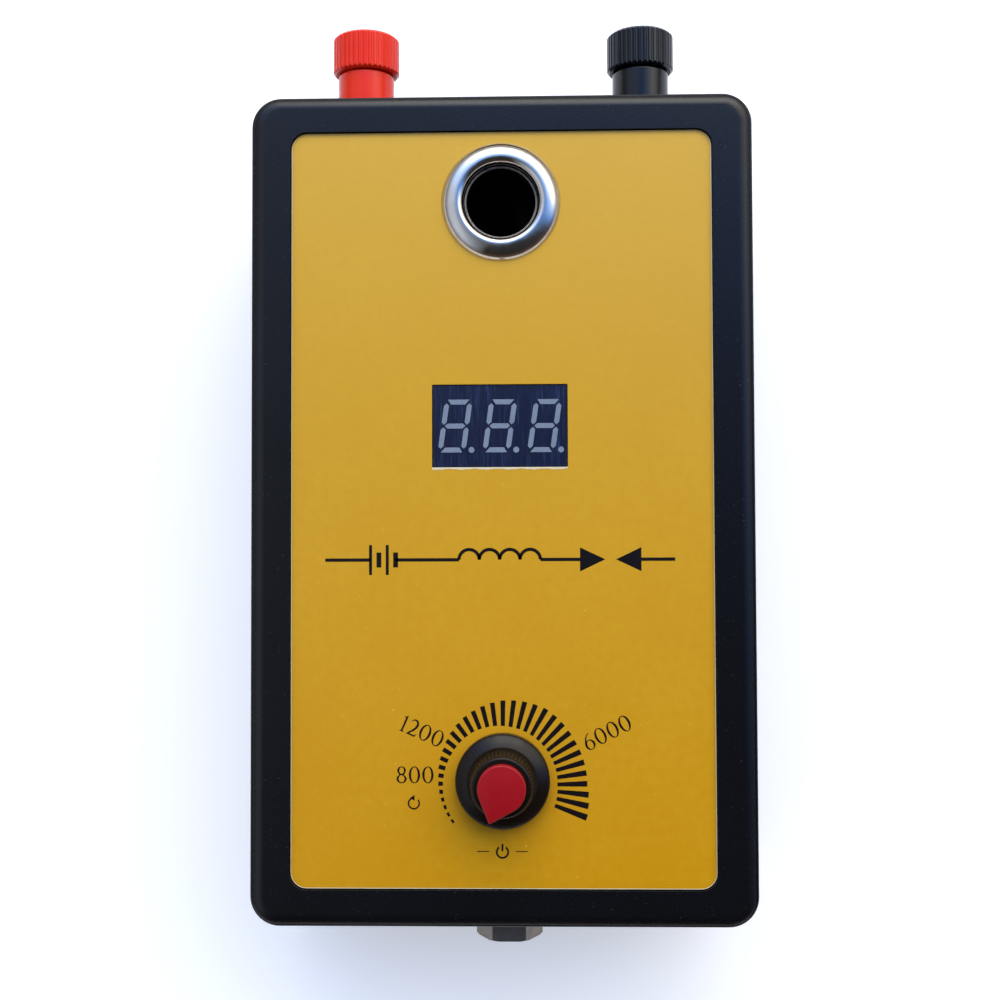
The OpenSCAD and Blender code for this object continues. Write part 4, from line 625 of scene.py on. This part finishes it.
# Light: a broad soft sky from the top end, blue where it meets the dark overhead, dim brown at the horizon,
# with a weak light from the left
sky = {"strength": 4.05, "lean": 0.45, "side": 0.24, "sideLean": -0.4, "sideFrom": -0.05, "sideTo": -0.5,
       "sideTint": (0.7, 0.8, 1.0), "horizon": "#382820", "horizonFrom": 0.15, "horizonTo": 0.6}
skyStops = [(0.0, "#151311"), (0.5, "#1c1d20"), (0.58, "#2b3648"), (0.66, "#4266a2"), (0.74, "#7f96b8"),
            (0.81, "#d0d3d6"), (0.92, "#fff6e8")]  # from the lower end to the top end
world = bpy.data.worlds.new("room")
bpy.context.scene.world = world
world.use_nodes = True
tree = world.node_tree
aim = addNode(tree, "ShaderNodeSeparateXYZ", {}, {0: addNode(tree, "ShaderNodeTexCoord").outputs["Generated"]})
toward = addNode(tree, "ShaderNodeMath", {"operation": "MULTIPLY_ADD", 1: sky["lean"]},
                 {0: aim.outputs["X"], 2: aim.outputs["Y"]})
share = addNode(tree, "ShaderNodeMapRange", {"From Min": -1.0, "From Max": 1.0}, {"Value": toward.outputs[0]})
ramp = addNode(tree, "ShaderNodeValToRGB", {}, {0: share.outputs["Result"]})
while len(ramp.color_ramp.elements) < len(skyStops):
    ramp.color_ramp.elements.new(0.5)
for stop, (position, stopColour) in zip(ramp.color_ramp.elements, skyStops):
    stop.position = position
    stop.color = linear(stopColour)
across = addNode(tree, "ShaderNodeMath", {"operation": "MULTIPLY_ADD", 1: sky["sideLean"]},
                 {0: aim.outputs["Y"], 2: aim.outputs["X"]})
sideLight = addNode(tree, "ShaderNodeMapRange", {"From Min": sky["sideFrom"], "From Max": sky["sideTo"],
                    "To Max": sky["side"]}, {"Value": across.outputs[0]})
leftward = addNode(tree, "ShaderNodeVectorMath", {"operation": "MULTIPLY_ADD", 1: sky["sideTint"]},
                   {0: sideLight.outputs["Result"], 2: ramp.outputs[0]})
height = addNode(tree, "ShaderNodeMapRange", {"From Min": sky["horizonFrom"], "From Max": sky["horizonTo"]},
                 {"Value": aim.outputs["Z"]})
dimmed = addNode(tree, "ShaderNodeMix", {"data_type": "RGBA", 6: linear(sky["horizon"])},
                 {0: height.outputs["Result"], 7: leftward.outputs[0]})
tree.links.new(dimmed.outputs[2], tree.nodes["Background"].inputs["Color"])
tree.nodes["Background"].inputs["Strength"].default_value = sky["strength"]

# One window beyond the top end
windowPanel = {"place": (60, 330, 260), "size": (0.3, 0.2), "watts": 0.42, "colour": "#e6f2ff"}  # mm, m
lampData = bpy.data.lights.new("windowPanel", "AREA")
lampData.shape = "RECTANGLE"
lampData.size, lampData.size_y = windowPanel["size"]
lampData.energy = windowPanel["watts"]
lampData.color = linear(windowPanel["colour"])[:3]
lamp = bpy.data.objects.new("windowPanel", lampData)
lamp.location = Vector(windowPanel["place"]) * mm
lamp.rotation_euler = (Vector((0, 0, labelHigh.z * mm)) - lamp.location).to_track_quat("-Z", "Y").to_euler()
bpy.context.scene.collection.objects.link(lamp)

# Floor: a round white paper sweep that turns up into a low dusky wall and keeps the shadow
sweep = {"radius": 1.3, "bend": 0.2, "wall": 0.34, "paper": "#f6f6f6", "dusk": "#87796c", "duskFrom": 0.05,
         "duskTo": 0.3, "glow": 0.36}  # m
bm = bmesh.new()
outline = [(0, 0)] + arc((sweep["radius"], sweep["bend"]), sweep["bend"], 270, 360, 8)
outline.append((sweep["radius"] + sweep["bend"], sweep["wall"]))
verts = [bm.verts.new((x, 0, z)) for x, z in outline]
edges = [bm.edges.new(pair) for pair in zip(verts, verts[1:])]
bmesh.ops.spin(bm, geom=verts + edges, axis=(0, 0, 1), cent=(0, 0, 0), angle=2 * math.pi, steps=64,
               use_merge=True, use_duplicate=False)
bmesh.ops.remove_doubles(bm, verts=bm.verts, dist=0.0001)
bmesh.ops.recalc_face_normals(bm, faces=bm.faces)
floorMesh = bpy.data.meshes.new("floor")
bm.to_mesh(floorMesh)
bm.free()
floorMesh.shade_smooth()
floor = bpy.data.objects.new("floor", floorMesh)
bpy.context.scene.collection.objects.link(floor)
paperSweep, tree, shader = newMaterial("paperSweep", sweep["paper"], {"Roughness": 0.9})
rise = addNode(tree, "ShaderNodeSeparateXYZ", {}, {0: addNode(tree, "ShaderNodeTexCoord").outputs["Object"]})
upWall = addNode(tree, "ShaderNodeMapRange", {"From Min": sweep["duskFrom"], "From Max": sweep["duskTo"]},
                 {"Value": rise.outputs["Z"]})
paper = addNode(tree, "ShaderNodeMix", {"data_type": "RGBA", 6: linear(sweep["paper"]),
                7: linear(sweep["dusk"])}, {0: upWall.outputs["Result"]})
tree.links.new(paper.outputs[2], shader.inputs["Base Color"])
# Seen by the camera, in metal or through glass, the paper glows a little so that it looks white
seen = addNode(tree, "ShaderNodeLightPath")
direct = addNode(tree, "ShaderNodeMath", {"operation": "MAXIMUM"},
                 {0: seen.outputs["Is Camera Ray"], 1: seen.outputs["Is Glossy Ray"]})
through = addNode(tree, "ShaderNodeMath", {"operation": "MAXIMUM"},
                  {0: direct.outputs[0], 1: seen.outputs["Is Transmission Ray"]})
glow = addNode(tree, "ShaderNodeMath", {"operation": "MULTIPLY", 1: sweep["glow"]}, {0: through.outputs[0]})
shader.inputs["Emission Color"].default_value = linear("#ffffff")
tree.links.new(glow.outputs[0], shader.inputs["Emission Strength"])
floorMesh.materials.append(paperSweep)
print("light and floor set")
